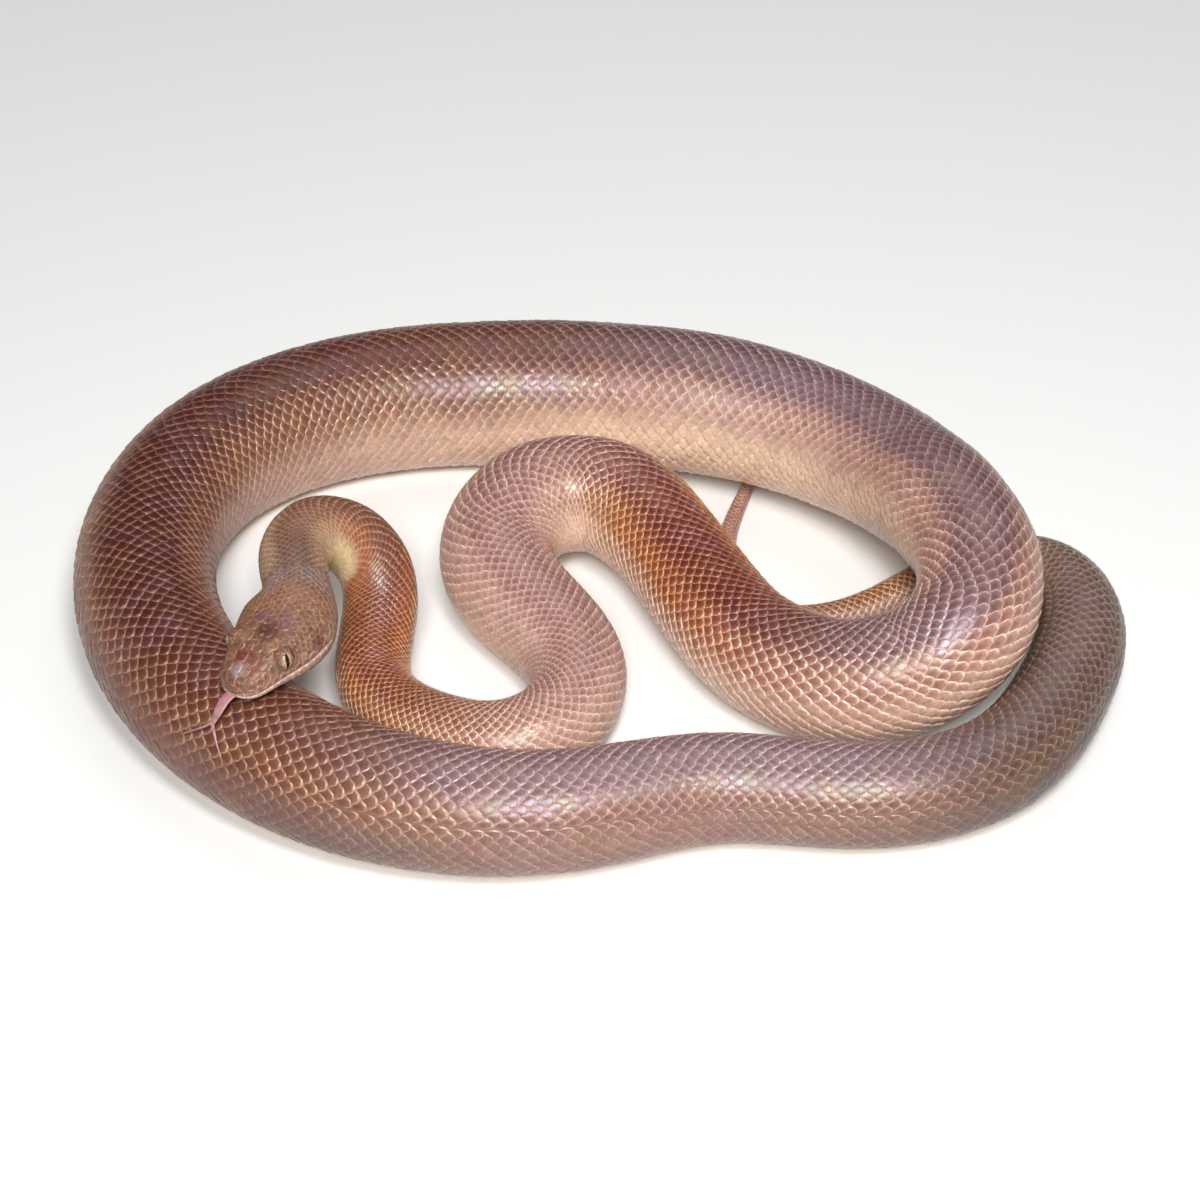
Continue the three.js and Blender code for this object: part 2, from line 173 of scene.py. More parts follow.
# Middle, way, left, up and radius at each distance; past an end the middle goes straight on.
def alongLine(distance):
    row = np.stack([np.interp(distance, lineAt, column) for column in lineTable.T], -1)
    middle, way = row[..., 0:3], row[..., 3:6]
    past = distance - np.clip(distance, 0, bodyLength)
    return middle + past[..., None] * way, way, row[..., 6:9], row[..., 9:12], row[..., 12]


# Unit section of the body: a circle whose bottom eases onto a flat, by
# above = flat + (d + sqrt(d^2 + e^2)) / 2 with d the height over the flat and e the ease.
def unitSection(angle):
    over = np.cos(angle) + body["bellyFlat"]
    eased = (over + np.sqrt(over**2 + body["bellyEase"] ** 2)) / 2
    return np.sin(angle), eased - body["bellyFlat"]


# Point of the body's surface: middle + left * aside + up * above, then out by "over" along
# the section's own normal. Angles run from the crown over the animal's left.
def bodySurface(distance, angle, over=0.0):
    middle, _, left, up, radius = alongLine(distance)
    aside, above = unitSection(angle)
    nudge = 1e-3
    asideOn, aboveOn = unitSection(angle + nudge)
    outAside, outAbove = -(aboveOn - above), asideOn - aside
    size = np.hypot(outAside, outAbove)
    aside = radius * aside + over * outAside / size
    above = radius * above + over * outAbove / size
    return middle + aside[..., None] * left + above[..., None] * up


# The lattice of rows and steps on which every scale of the body has its root.
lattice = {
    # distance between scales of one row, at distances from the snout
    "pitch": [
        [50, 3.0], [160, 3.1], [250, 3.5], [330, 4.3], [450, 5.0], [565, 5.3], [700, 5.8],
        [900, 6.0], [1285, 5.9], [1435, 5.7], [1600, 5.4], [1690, 4.7], [1760, 3.6],
        [1870, 3.0], [1980, 2.3],
    ],
    "sideRows": 20,
    "edgeAngle": 142,
    # the lowest rows on the flank are wider, counted from the belly
    "lowRowWidths": [1.5, 1.35, 1.2, 1.1],
    # pairs of rows on each side that begin or end, and over which distances
    "begins": [[(17, 18), 265, 300]],
    "ends": [
        [(9, 10), 1310, 1335], [(13, 14), 1420, 1445], [(5, 6), 1525, 1550],
        [(11, 12), 1625, 1650], [(7, 8), 1680, 1702], [(15, 16), 1720, 1738],
        [(3, 4), 1775, 1795], [(17, 18), 1890, 1905],
    ],
    "starts": 57.5,
    "depthShare": 0.085,
}
sampleAt = np.arange(0, bodyLength + 1.0, 1.0)
pitchCurve = steadyCurve(*np.array(lattice["pitch"], float).T)
pitchTable = pitchCurve(np.clip(sampleAt, lattice["pitch"][0][0], None))
stepCount = np.concatenate([[0], np.cumsum(1 / pitchTable[:-1])])
stepCount -= np.interp(lattice["starts"], sampleAt, stepCount)
lastStep = stepCount[-1]


def distanceOf(step):
    over = (step - lastStep) * pitchTable[-1]
    return np.interp(step, stepCount, sampleAt) + np.maximum(over, 0)


def coatDepth(distance):
    return lattice["depthShare"] * np.interp(distance, sampleAt, pitchTable)


# Angles of the rows' middles at each sample, from -21 to 21: widths add up from the crown and
# are scaled so that the last row's outer edge meets the belly scutes.
def rowTables():
    rows = lattice["sideRows"]
    width = np.ones((rows + 1, len(sampleAt)))
    for rank, factor in enumerate(lattice["lowRowWidths"]):
        width[rows - rank] *= factor
    full = width.copy()
    for pair, start, end in lattice["begins"]:
        width[list(pair)] *= smoothStep(sampleAt, start, end)
    for pair, start, end in lattice["ends"]:
        width[list(pair)] *= 1 - smoothStep(sampleAt, start, end)
    outer = np.cumsum(width, axis=0) - width[0] / 2
    middle = outer - width / 2
    beyond = outer[-1:] + full[-1:] / 2
    scale = math.radians(lattice["edgeAngle"]) / outer[-1]
    half = np.concatenate([middle, beyond]) * scale
    return np.concatenate([-half[:0:-1], half]), width / full


rowAngles, rowShare = rowTables()


# Row angle at each distance, read between samples.
def rowAngle(row, distance):
    at = np.clip(distance, 0, sampleAt[-1] - 1e-6)
    low = at.astype(int)
    part = at - low
    line = row + lattice["sideRows"] + 1
    return rowAngles[line, low] * (1 - part) + rowAngles[line, low + 1] * part


# An object from points, sets of faces of one size each, and values per face corner and point.
def makePiece(name, points, faceSets, material, corners=None, perPoint=None):
    mesh = bpy.data.meshes.new(name)
    loops = np.concatenate([faces.ravel() for faces in faceSets]).astype(np.int32)
    sizes = np.concatenate([np.full(len(faces), faces.shape[1]) for faces in faceSets])
    starts = np.concatenate([[0], np.cumsum(sizes)[:-1]]).astype(np.int32)
    mesh.vertices.add(len(points))
    mesh.vertices.foreach_set("co", (points * mm).astype(np.float32).ravel())
    mesh.loops.add(len(loops))
    mesh.loops.foreach_set("vertex_index", loops)
    mesh.polygons.add(len(starts))
    mesh.polygons.foreach_set("loop_start", starts)
    mesh.update(calc_edges=True)
    mesh.polygons.foreach_set("use_smooth", np.ones(len(starts), bool))
    for layer, values in (corners or {}).items():
        mesh.uv_layers.new(name=layer).data.foreach_set("uv", values.astype(np.float32).ravel())
    for layer, values in (perPoint or {}).items():
        wide = values.ndim == 2
        store = mesh.attributes.new(layer, "FLOAT_COLOR" if wide else "FLOAT", "POINT")
        store.data.foreach_set("color" if wide else "value", values.astype(np.float32).ravel())
    mesh.validate()
    piece = bpy.data.objects.new(name, mesh)
    bpy.context.scene.collection.objects.link(piece)
    mesh.materials.append(material)
    print(f"{name}: {int((sizes - 2).sum())} triangles")
    return piece


# Quads of an open grid of rows by columns, for each of several grids laid end to end.
def gridQuads(rows, columns, grids=1):
    r, c = np.meshgrid(np.arange(rows - 1), np.arange(columns - 1), indexing="ij")
    a = (r * columns + c).ravel()
    quad = np.stack([a, a + columns, a + columns + 1, a + 1], 1)
    return (np.arange(grids)[:, None, None] * rows * columns + quad).reshape(-1, 4)


# A shader node: an input given as a socket is linked, any other one is set.
def addNode(tree, kind, settings=None, inputs=None):
    node = tree.nodes.new(kind)
    for key, value in (settings or {}).items():
        setattr(node, key, value)
    for key, value in (inputs or {}).items():
        socket = node.inputs[key]
        if isinstance(value, bpy.types.NodeSocket):
            tree.links.new(value, socket)
        else:
            socket.default_value = value
    return node


def mathNode(tree, operation, a, b=0.0):
    return addNode(tree, "ShaderNodeMath", {"operation": operation}, {0: a, 1: b}).outputs[0]


def mixColour(tree, factor, a, b, blend="MIX"):
    settings = {"data_type": "RGBA", "blend_type": blend}
    node = addNode(tree, "ShaderNodeMix", settings, {0: factor, 6: a, 7: b})
    return node.outputs[2]


def readAttribute(tree, name):
    return addNode(tree, "ShaderNodeAttribute", {"attribute_name": name}).outputs["Fac"]


def mapSmooth(tree, value, low, high, toLow=0.0, toHigh=1.0):
    inputs = {"Value": value, "From Min": low, "From Max": high, "To Min": toLow, "To Max": toHigh}
    settings = {"interpolation_type": "SMOOTHSTEP"}
    return addNode(tree, "ShaderNodeMapRange", settings, inputs).outputs[0]


def objectPlace(tree):
    return addNode(tree, "ShaderNodeTexCoord").outputs["Object"]


# Noise from 0 to 1, which seldom leaves the span given below.
noiseSpan = (0.3, 0.7)


def noise(tree, place, scale, detail=2.0, roughness=0.5, distortion=0.0):
    inputs = {"Vector": place, "Scale": scale, "Detail": detail}
    inputs.update({"Roughness": roughness, "Distortion": distortion})
    return addNode(tree, "ShaderNodeTexNoise", inputs=inputs).outputs["Fac"]


def newGroup(name, inputs, outputs):
    tree = bpy.data.node_groups.new(name, "ShaderNodeTree")
    for label, kind in inputs:
        tree.interface.new_socket(name=label, in_out="INPUT", socket_type=kind)
    for label, kind in outputs:
        tree.interface.new_socket(name=label, in_out="OUTPUT", socket_type=kind)
    return tree, tree.nodes.new("NodeGroupInput"), tree.nodes.new("NodeGroupOutput")


def useGroup(tree, group, inputs):
    return addNode(tree, "ShaderNodeGroup", {"node_tree": group}, inputs)


# sRGB steps from 0 to 255 as the linear colour that a socket takes.
def colour(red, green, blue):
    steps = np.array([red, green, blue]) / 255
    linear = np.where(steps <= 0.04045, steps / 12.92, ((steps + 0.055) / 1.055) ** 2.4)
    return (*linear.tolist(), 1.0)


def colourRamp(tree, factor, stops):
    node = addNode(tree, "ShaderNodeValToRGB", inputs={0: factor})
    ramp = node.color_ramp
    ramp.interpolation = "B_SPLINE"
    while len(ramp.elements) > 1:
        ramp.elements.remove(ramp.elements[-1])
    ramp.elements[0].position, ramp.elements[0].color = stops[0]
    for place, shade in stops[1:]:
        ramp.elements.new(place).color = shade
    return node.outputs[0]


palette = {
    "hazel": colour(104, 70, 54),
    "temple": colour(105, 70, 53),
    "ash": colour(102, 86, 80),
    "rust": colour(114, 60, 38),
    "amber": colour(112, 56, 30),
    "honey": colour(150, 106, 68),
    "fawn": colour(176, 143, 114),
    "russet": colour(101, 46, 31),
    "plum": colour(97, 58, 47),
    # lilac, mauve and heather are partly the scales' own colour and partly painted lavender sheen
    "lilac": colour(132, 107, 110),
    "mauve": colour(112, 85, 87),
    "dusk": colour(110, 80, 77),
    "heather": colour(120, 95, 102),
    "walnut": colour(104, 65, 54),
    "chocolate": colour(74, 34, 25),
    "cocoa": colour(91, 49, 39),
    "chestnut": colour(103, 64, 49),
    "taupe": colour(84, 65, 58),
    "umber": colour(94, 73, 62),
    "smoke": colour(112, 92, 84),
    "rose": colour(152, 114, 108),
    "blush": colour(182, 146, 134),
    "peach": colour(166, 128, 114),
    "clay": colour(128, 88, 68),
    "sienna": colour(144, 86, 54),
    "tan": colour(140, 106, 95),
    "buff": colour(188, 152, 130),
    "shell": colour(206, 168, 148),
    "cream": colour(230, 196, 168),
    "ivory": colour(246, 220, 196),
    "straw": colour(226, 200, 154),
}
markingsAndSheen = {
    # shades along the body, as distance from the snout in millimetres, in three bands
    # the lilac, heather and mauve of the back are partly the scales' own colour and partly painted
    # lavender sheen
    "back": [
        (42, "hazel"), (57, "ash"), (84, "clay"), (116, "clay"), (165, "amber"), (205, "rust"),
        (235, "clay"), (262, "peach"), (285, "rose"), (430, "rose"), (462, "russet"),
        (540, "russet"), (575, "plum"), (615, "lilac"), (665, "dusk"), (770, "heather"),
        (870, "mauve"), (930, "walnut"), (1010, "cocoa"), (1080, "chocolate"),
        (1200, "chocolate"), (1270, "cocoa"), (1325, "chestnut"), (1375, "lilac"),
        (1520, "lilac"), (1570, "taupe"), (1640, "smoke"), (1725, "smoke"), (1770, "honey"),
        (1820, "chestnut"), (1900, "peach"),
    ],
    "side": [
        (0, "temple"), (50, "temple"), (68, "fawn"), (92, "fawn"), (116, "sienna"), (165, "sienna"),
        (215, "honey"), (260, "blush"), (330, "blush"), (410, "blush"), (455, "honey"),
        (490, "sienna"), (540, "sienna"), (580, "peach"), (760, "peach"), (825, "blush"),
        (875, "peach"), (925, "tan"), (1010, "clay"), (1070, "clay"), (1130, "chestnut"),
        (1290, "chestnut"), (1330, "clay"), (1375, "tan"), (1520, "tan"), (1570, "umber"),
        (1690, "umber"), (1760, "buff"), (1820, "tan"), (1980, "peach"),
    ],
    "flank": [
        (0, "tan"), (50, "tan"), (85, "straw"), (125, "straw"), (155, "peach"), (200, "peach"),
        (260, "buff"), (330, "shell"), (390, "shell"), (425, "cream"), (470, "shell"),
        (520, "buff"), (570, "shell"), (680, "shell"), (740, "cream"), (790, "cream"),
        (840, "cream"), (900, "cream"), (970, "shell"), (1020, "buff"), (1090, "peach"),
        (1140, "tan"), (1180, "chestnut"), (1220, "cocoa"), (1280, "walnut"), (1330, "umber"),
        (1380, "tan"), (1500, "tan"), (1570, "taupe"), (1690, "taupe"), (1760, "peach"),
        (1980, "blush"),
    ],
    "belly": "ivory",
    # where one band passes into the next, as a share of the way from crown to belly
    "backEnds": (0.10, 0.30),
    "sideEnds": (0.30, 0.52),
    "bellyStarts": (0.74, 0.82),
    # scale of the noise that moves these borders up and down, and how far
    "wanderScale": 38.0,
    "wander": 0.015,
    # painted lavender and golden sheen that stands for the scales' iridescence: where they lie in one
    # slow noise, and their shares
    "paintedSheenScale": 55.0,
    "paintedSheen": colour(150, 122, 142),
    "paintedSheenSpan": (0.5, 0.68),
    "paintedSheenShare": 0.06,
    "paintedGoldSheen": colour(158, 124, 74),
    "paintedGoldSheenSpan": (0.48, 0.34),
    "paintedGoldSheenShare": 0.06,
    # how much the finest flecks darken and brighten
    "fleckScale": 640.0,
    "flecks": (0.88, 1.12),
}


def namedStops(stops):
    return [(place / bodyLength, palette[name]) for place, name in stops]


# Markings over the whole animal: three bands of shades along the body, mixed by how far down
# the side a place lies, the belly below, and a drifting painted lavender and golden sheen.
def makeMarkingsAndSheen():
    tree, given, put = newGroup(
        "bodyMarkingsAndSheen",
        [("Along", "NodeSocketFloat"), ("Lie", "NodeSocketFloat"), ("Tone", "NodeSocketFloat")],
        [("Colour", "NodeSocketColor")],
    )
    along, lie, tone = given.outputs[0], given.outputs[1], given.outputs[2]
    place = objectPlace(tree)
    cloud = noise(tree, place, markingsAndSheen["wanderScale"], 3.0)
    wander = mapSmooth(tree, cloud, *noiseSpan, -markingsAndSheen["wander"], markingsAndSheen["wander"])
    lieOff = mathNode(tree, "ADD", lie, wander)
    bands = [namedStops(markingsAndSheen[band]) for band in ("back", "side", "flank")]
    back, side, flank = [colourRamp(tree, along, stops) for stops in bands]
    upper = mixColour(tree, mapSmooth(tree, lieOff, *markingsAndSheen["backEnds"]), back, side)
    whole = mixColour(tree, mapSmooth(tree, lieOff, *markingsAndSheen["sideEnds"]), upper, flank)
    belly = mapSmooth(tree, lie, *markingsAndSheen["bellyStarts"])
    whole = mixColour(tree, belly, whole, palette[markingsAndSheen["belly"]])
    drift = noise(tree, place, markingsAndSheen["paintedSheenScale"], 3.0)
    speck = noise(tree, place, markingsAndSheen["fleckScale"])
    tone = mathNode(tree, "MULTIPLY", tone, mapSmooth(tree, speck, *noiseSpan, *markingsAndSheen["flecks"]))
    # painted sheen: lavender and golden patches mixed into the colour in place of the scales'
    # iridescence
    paintedSheen = mapSmooth(tree, drift, *markingsAndSheen["paintedSheenSpan"], 0.0, markingsAndSheen["paintedSheenShare"])
    paintedGoldSheen = mapSmooth(tree, drift, *markingsAndSheen["paintedGoldSheenSpan"], 0.0, markingsAndSheen["paintedGoldSheenShare"])
    paintedSheenMixed = mixColour(tree, paintedSheen, whole, markingsAndSheen["paintedSheen"])
    paintedGoldSheenMixed = mixColour(tree, paintedGoldSheen, paintedSheenMixed, markingsAndSheen["paintedGoldSheen"])
    tones = addNode(tree, "ShaderNodeCombineColor", inputs={0: tone, 1: tone, 2: tone}).outputs[0]
    toned = mixColour(tree, 1.0, paintedGoldSheenMixed, tones, "MULTIPLY")
    tree.links.new(toned, put.inputs[0])
    return tree


rimShape = {
    # a power sum instead of a plain maximum rounds the rear corner
    "power": 9.0,
    # the rim thins out towards the side corners, where the next scales lie against it
    "sideSpan": (0.05, 0.45),
    "sideShares": (0.4, 1.05),
    # the dark middle sets in behind the front corner and ends this far before the rim
    "coreSpan": (0.02, 0.4),
    "coreFade": 0.3,
}


# Mask of a scale's pale free edge from the scale's own square: the nearer of its two rear sides.
def makeScaleRim():
    sockets = [("Square", "NodeSocketVector")]
    sockets += [(name, "NodeSocketFloat") for name in ("Starts", "Full")]
    masks = [(name, "NodeSocketFloat") for name in ("Mask", "Core")]
    tree, given, put = newGroup("scaleRim", sockets, masks)
    square, starts, full = given.outputs[0], given.outputs[1], given.outputs[2]
    sides = addNode(tree, "ShaderNodeSeparateXYZ", inputs={0: square}).outputs[:2]
    power = rimShape["power"]
    raised = [mathNode(tree, "POWER", mathNode(tree, "MAXIMUM", one, 0.001), power) for one in sides]
    rear = mathNode(tree, "POWER", mathNode(tree, "ADD", *raised), 1 / power)
    front = mathNode(tree, "MINIMUM", *sides)
    beside = mapSmooth(tree, front, *rimShape["sideSpan"], *rimShape["sideShares"])
    mask = mathNode(tree, "MULTIPLY", mapSmooth(tree, rear, starts, full), beside)
    lead = mapSmooth(tree, front, *rimShape["coreSpan"])
    inner = mathNode(tree, "SUBTRACT", starts, rimShape["coreFade"])
    core = mathNode(tree, "MULTIPLY", lead, mapSmooth(tree, rear, starts, inner))
    tree.links.new(mask, put.inputs[0])
    tree.links.new(core, put.inputs[1])
    return tree


# Fine unevenness of living skin: a value for roughness and a height for bump.
def makeSkinGrain():
    tree, given, put = newGroup(
        "skinGrain",
        [("Scale", "NodeSocketFloat")],
        [("Rough", "NodeSocketFloat"), ("Height", "NodeSocketFloat")],
    )
    place = objectPlace(tree)
    broad = noise(tree, place, 90.0, 4.0)
    tree.links.new(mapSmooth(tree, broad, *noiseSpan, -0.05, 0.07), put.inputs[0])
    tree.links.new(noise(tree, place, given.outputs[0]), put.inputs[1])
    return tree


groups = {"markingsAndSheen": makeMarkingsAndSheen(), "rim": makeScaleRim(), "grain": makeSkinGrain()}


def newMaterial(name):
    material = bpy.data.materials.new(name)
    material.use_nodes = True
    tree = material.node_tree
    return material, tree, tree.nodes["Principled BSDF"]


# Patches of the head, among them a painted highlight on the snout, painted as a colour and its share at
# every point.
def withMarkAndHighlight(tree, base):
    markAndHighlight = addNode(tree, "ShaderNodeAttribute", {"attribute_name": "markAndHighlight"})
    return mixColour(tree, markAndHighlight.outputs["Alpha"], base, markAndHighlight.outputs["Color"])


def bodyColour(tree):
    inputs = {name.title(): readAttribute(tree, name) for name in ("along", "lie", "tone")}
    return useGroup(tree, groups["markingsAndSheen"], inputs).outputs[0]


scaleFinish = {
    # the free edge of a scale is brightened and fades towards the rim's shade, and its middle
    # is darkened
    "rimTint": (2.4, 2.85, 2.95, 1.0),
    "rim": colour(236, 208, 190),
    "rimShare": 0.08,
    "coreTint": (0.72, 0.55, 0.51, 1.0),
    # how strong both are on the darkest and on the palest scales, the brightness of each, and
    # their strength close behind the head
    "darkShare": 1.0,
    "paleShare": 0.18,
    "darkToPale": (0.14, 0.5),
    "neckShare": 0.8,
    "neckEnds": (60, 110),
    # the stretch where they are calmer: its middle, how far it reaches, and their strength
    "calmAt": 1300,
    "calmReach": (230, 380),
    "calmShare": 0.75,
    # they are also calmer down the flank: from and to which share of the way to the belly, their
    # strength there, and over which distances from the snout that sets in
    "flankEnds": (0.28, 0.48),
    "flankShare": 0.42,
    "flankStarts": (660, 780),
    "rimStarts": 0.85,
    "rimFull": 0.95,
    # the least and the most of a rim where it is worn and where it is whole, by a fine noise
    "wearScale": 380.0,
    "wearSpan": (0.38, 0.6),
    "rimWear": (0.5, 1.0),
    "specular": 0.36,
    "roughness": 0.29,
    # scale of the skin's grain, and depth in metres and strength of its bump
    "grain": 2600.0,
    "bump": (0.00008, 0.5),
    # the film's thickness drifts between these, so that its sheen drifts in hue
    "filmNanometres": (390, 530),
    "filmIor": 1.44,
}
skinFinish = {"tint": (0.88, 0.86, 0.86, 1.0), "roughness": 0.5, "grain": 1800.0, "bump": (0.00006, 0.4)}


def addGrain(tree, shader, finish):
    grain = useGroup(tree, groups["grain"], {"Scale": finish["grain"]})
    rough = mathNode(tree, "ADD", grain.outputs["Rough"], finish["roughness"])
    tree.links.new(rough, shader.inputs["Roughness"])
    depth, strength = finish["bump"]
    inputs = {"Height": grain.outputs["Height"], "Distance": depth, "Strength": strength}
    tree.links.new(addNode(tree, "ShaderNodeBump", inputs=inputs).outputs[0], shader.inputs["Normal"])


def setGloss(tree, shader, finish):
    shader.inputs["Specular IOR Level"].default_value = finish["specular"]
    drift = noise(tree, objectPlace(tree), 46.0)
    film = mapSmooth(tree, drift, 0.35, 0.65, *finish["filmNanometres"])
    tree.links.new(film, shader.inputs["Thin Film Thickness"])
    shader.inputs["Thin Film IOR"].default_value = finish["filmIor"]


# Places in millimetres from the snout as shares of the body's length.
def alongShares(*places):
    return [place / bodyLength for place in places]


def makeScaleMaterial():
    finish = scaleFinish
    material, tree, shader = newMaterial("scaleCoat")
    base = bodyColour(tree)
    square = addNode(tree, "ShaderNodeUVMap", {"uv_map": "OnScale"}).outputs[0]
    edges = {"Square": square, "Starts": finish["rimStarts"], "Full": finish["rimFull"]}
    rim = useGroup(tree, groups["rim"], edges)
    bright = addNode(tree, "ShaderNodeRGBToBW", inputs={0: base}).outputs[0]
    share = mapSmooth(tree, bright, *finish["darkToPale"], finish["darkShare"], finish["paleShare"])
    along = readAttribute(tree, "along")
    neck = mapSmooth(tree, along, *alongShares(*finish["neckEnds"]), finish["neckShare"], 1.0)
    middle, *reach = alongShares(finish["calmAt"], *finish["calmReach"])
    aside = mathNode(tree, "ABSOLUTE", mathNode(tree, "SUBTRACT", along, middle))
    calm = mapSmooth(tree, aside, *reach, finish["calmShare"], 1.0)
    least = mapSmooth(tree, along, *alongShares(*finish["flankStarts"]), 1.0, finish["flankShare"])
    flank = mapSmooth(tree, readAttribute(tree, "lie"), *finish["flankEnds"], 1.0, least)
    for part in (neck, calm, flank):
        share = mathNode(tree, "MULTIPLY", share, part)
    coreShare = mathNode(tree, "MULTIPLY", rim.outputs["Core"], share)
    core = mixColour(tree, coreShare, base, finish["coreTint"], "MULTIPLY")
    worn = noise(tree, objectPlace(tree), finish["wearScale"])
    rimShare = mathNode(tree, "MULTIPLY", rim.outputs["Mask"], share)
    wear = mapSmooth(tree, worn, *finish["wearSpan"], *finish["rimWear"])
    rimShare = mathNode(tree, "MULTIPLY", rimShare, wear)
    tinted = mixColour(tree, rimShare, core, finish["rimTint"], "MULTIPLY")
    faded = mathNode(tree, "MULTIPLY", rimShare, finish["rimShare"])
    tree.links.new(mixColour(tree, faded, tinted, finish["rim"]), shader.inputs["Base Color"])
    addGrain(tree, shader, finish)
    setGloss(tree, shader, finish)
    return material


def makeSkinMaterial():
    material, tree, shader = newMaterial("bareSkin")
    base = withMarkAndHighlight(tree, bodyColour(tree))
    full = mixColour(tree, 1.0, base, skinFinish["tint"], "MULTIPLY")
    tree.links.new(full, shader.inputs["Base Color"])
    addGrain(tree, shader, skinFinish)
    return material


scaleMaterial = makeScaleMaterial()
skinMaterial = makeSkinMaterial()
print("materials are ready")

head = {
    # distance from the snout, half width, height over the line of the mouth, depth under it,
    # and squareness of the upper and the lower half of the section, where 2 is an ellipse
    "shape": [
        [0, 1, 0.8, 0.7, 2, 2], [0.8, 4.4, 2.7, 1.9, 2.1, 2.2], [2.5, 7.2, 4.6, 3.1, 2.3, 2.6],
        [5.5, 9.3, 6.5, 4, 2.5, 3.1], [10, 11.1, 8.4, 4.6, 2.6, 3.4],
        [15, 12.8, 10, 5.3, 2.6, 3.5], [20, 14.7, 11, 6.6, 2.5, 3.5],
        [27, 17.2, 11.8, 8.4, 2.4, 3.4], [33, 18.5, 12.2, 9.7, 2.3, 3.2],
        [38, 18.9, 12.7, 10.5, 2.25, 3], [43, 18, 13.1, 11, 2.2, 2.7],
        [48, 16.4, 13.4, 11.3, 2.15, 2.4], [53, 14.8, 13.4, 11.7, 2.1, 2.2],
        [58, 13.7, 13.3, 12.1, 2.05, 2.1], [62, 13.2, 13.2, 12.28, 2, 2],
    ],
    "browAt": 19, "browLength": 6, "browAngle": 50, "browSpread": 15, "browRise": 1.0,
    "lipDepth": 0.55, "lipSpread": 3.0, "gapeAt": 38, "gapeFade": 5, "jawInset": 0.3,
    "coatDepth": 0.27,
    "rings": 190,
    "sides": 192,
    # the first ring, and how much closer the rings lie towards the snout
    "firstRing": 0.12,
    "ringPower": 1.35,
}
headShape = np.array(head["shape"], float).T
headCurves = [steadyCurve(headShape[0], row) for row in headShape[1:]]


# Point of the head: superellipse section r = (|sin / width|^e + |cos / height|^e)^(-1/e), with a
# flat throat, a brow swelling and a groove along the mouth, carried by the mid line.
def headPoint(at, angle):
    width, top, depth, crownPower, jawPower = [curve(at) for curve in headCurves]
    degrees = np.abs(np.degrees(folded(angle)))
    sine, cosine = np.sin(angle), np.cos(angle)
    height = np.where(degrees <= 90, top, depth / body["bellyFlat"])
    power = np.where(degrees <= 90, crownPower, jawPower)
    inverse = np.abs(sine / width) ** power + np.abs(cosine / height) ** power
    reach = inverse ** (-1 / power)
    brow = bell(at, head["browAt"], head["browLength"])
    brow = brow * bell(degrees, head["browAngle"], head["browSpread"])
    opened = smoothStep(at, 0, 1.2) * smoothStep(head["gapeAt"] - at, 0, head["gapeFade"])
    groove = head["lipDepth"] * opened * bell(degrees, 90, head["lipSpread"])
    inset = smoothStep(degrees, 90, 100) * smoothStep(body["headEnd"] - at, 0, 19)
    inset = inset * smoothStep(at, 0, 6)
    reach = reach + head["browRise"] * brow - groove - head["jawInset"] * inset * np.abs(sine)
    aside, above = reach * sine, reach * cosine
    over = above + depth
    ease = body["bellyEase"] * depth
    above = np.where(degrees > 90, (over + np.sqrt(over**2 + ease**2)) / 2 - depth, above)
    middle, _, left, up, _ = alongLine(at)
    return middle + aside[..., None] * left + above[..., None] * up


def headNormal(at, angle):
    ahead, behind = headPoint(np.maximum(at - 0.03, 0.01), angle), headPoint(at + 0.03, angle)
    around = headPoint(at, angle + 0.004) - headPoint(at, angle - 0.004)
    return unit(np.cross(around, behind - ahead))


# A place on the head, and the ways to the tail and around the head from there, both square to
# the head's normal.
def headRoot(at, angle):
    root, normal = headPoint(at, angle), headNormal(at, angle)
    tail = headPoint(at + 0.05, angle) - root
    tail = unit(tail - (tail * normal).sum(-1, keepdims=True) * normal)
    return root, tail, np.cross(tail, normal)


# Steps in millimetres over the head from a root: the step of (at, angle) that reaches the
# wanted place in the plane square to the root's normal is found by Newton's method.
def headStep(rootAt, rootAngle, aheadStep, aroundStep):
    root, tail, side = headRoot(rootAt, rootAngle)
    at, angle = [np.ones_like(aheadStep) * part for part in (rootAt, rootAngle)]
    nudgeAt, nudgeAngle, rounds = 0.02, 0.002, 4
    for _ in range(rounds):
        here = headPoint(at, angle) - root
        goAt = (headPoint(at + nudgeAt, angle) - root - here) / nudgeAt
        goAngle = (headPoint(at, angle + nudgeAngle) - root - here) / nudgeAngle
        a, b = (goAt * tail).sum(-1), (goAngle * tail).sum(-1)
        c, d = (goAt * side).sum(-1), (goAngle * side).sum(-1)
        missX = aheadStep - (here * tail).sum(-1)
        missY = aroundStep - (here * side).sum(-1)
        size = a * d - b * c
        size = np.where(np.abs(size) < 0.5, np.where(size < 0, -0.5, 0.5), size)
        moveAt = np.clip((d * missX - b * missY) / size, -2, 2)
        moveAngle = np.clip((a * missY - c * missX) / size, -0.3, 0.3)
        at = np.clip(at + moveAt, 0.05, 66)
        angle = angle + moveAngle
    return at, angle


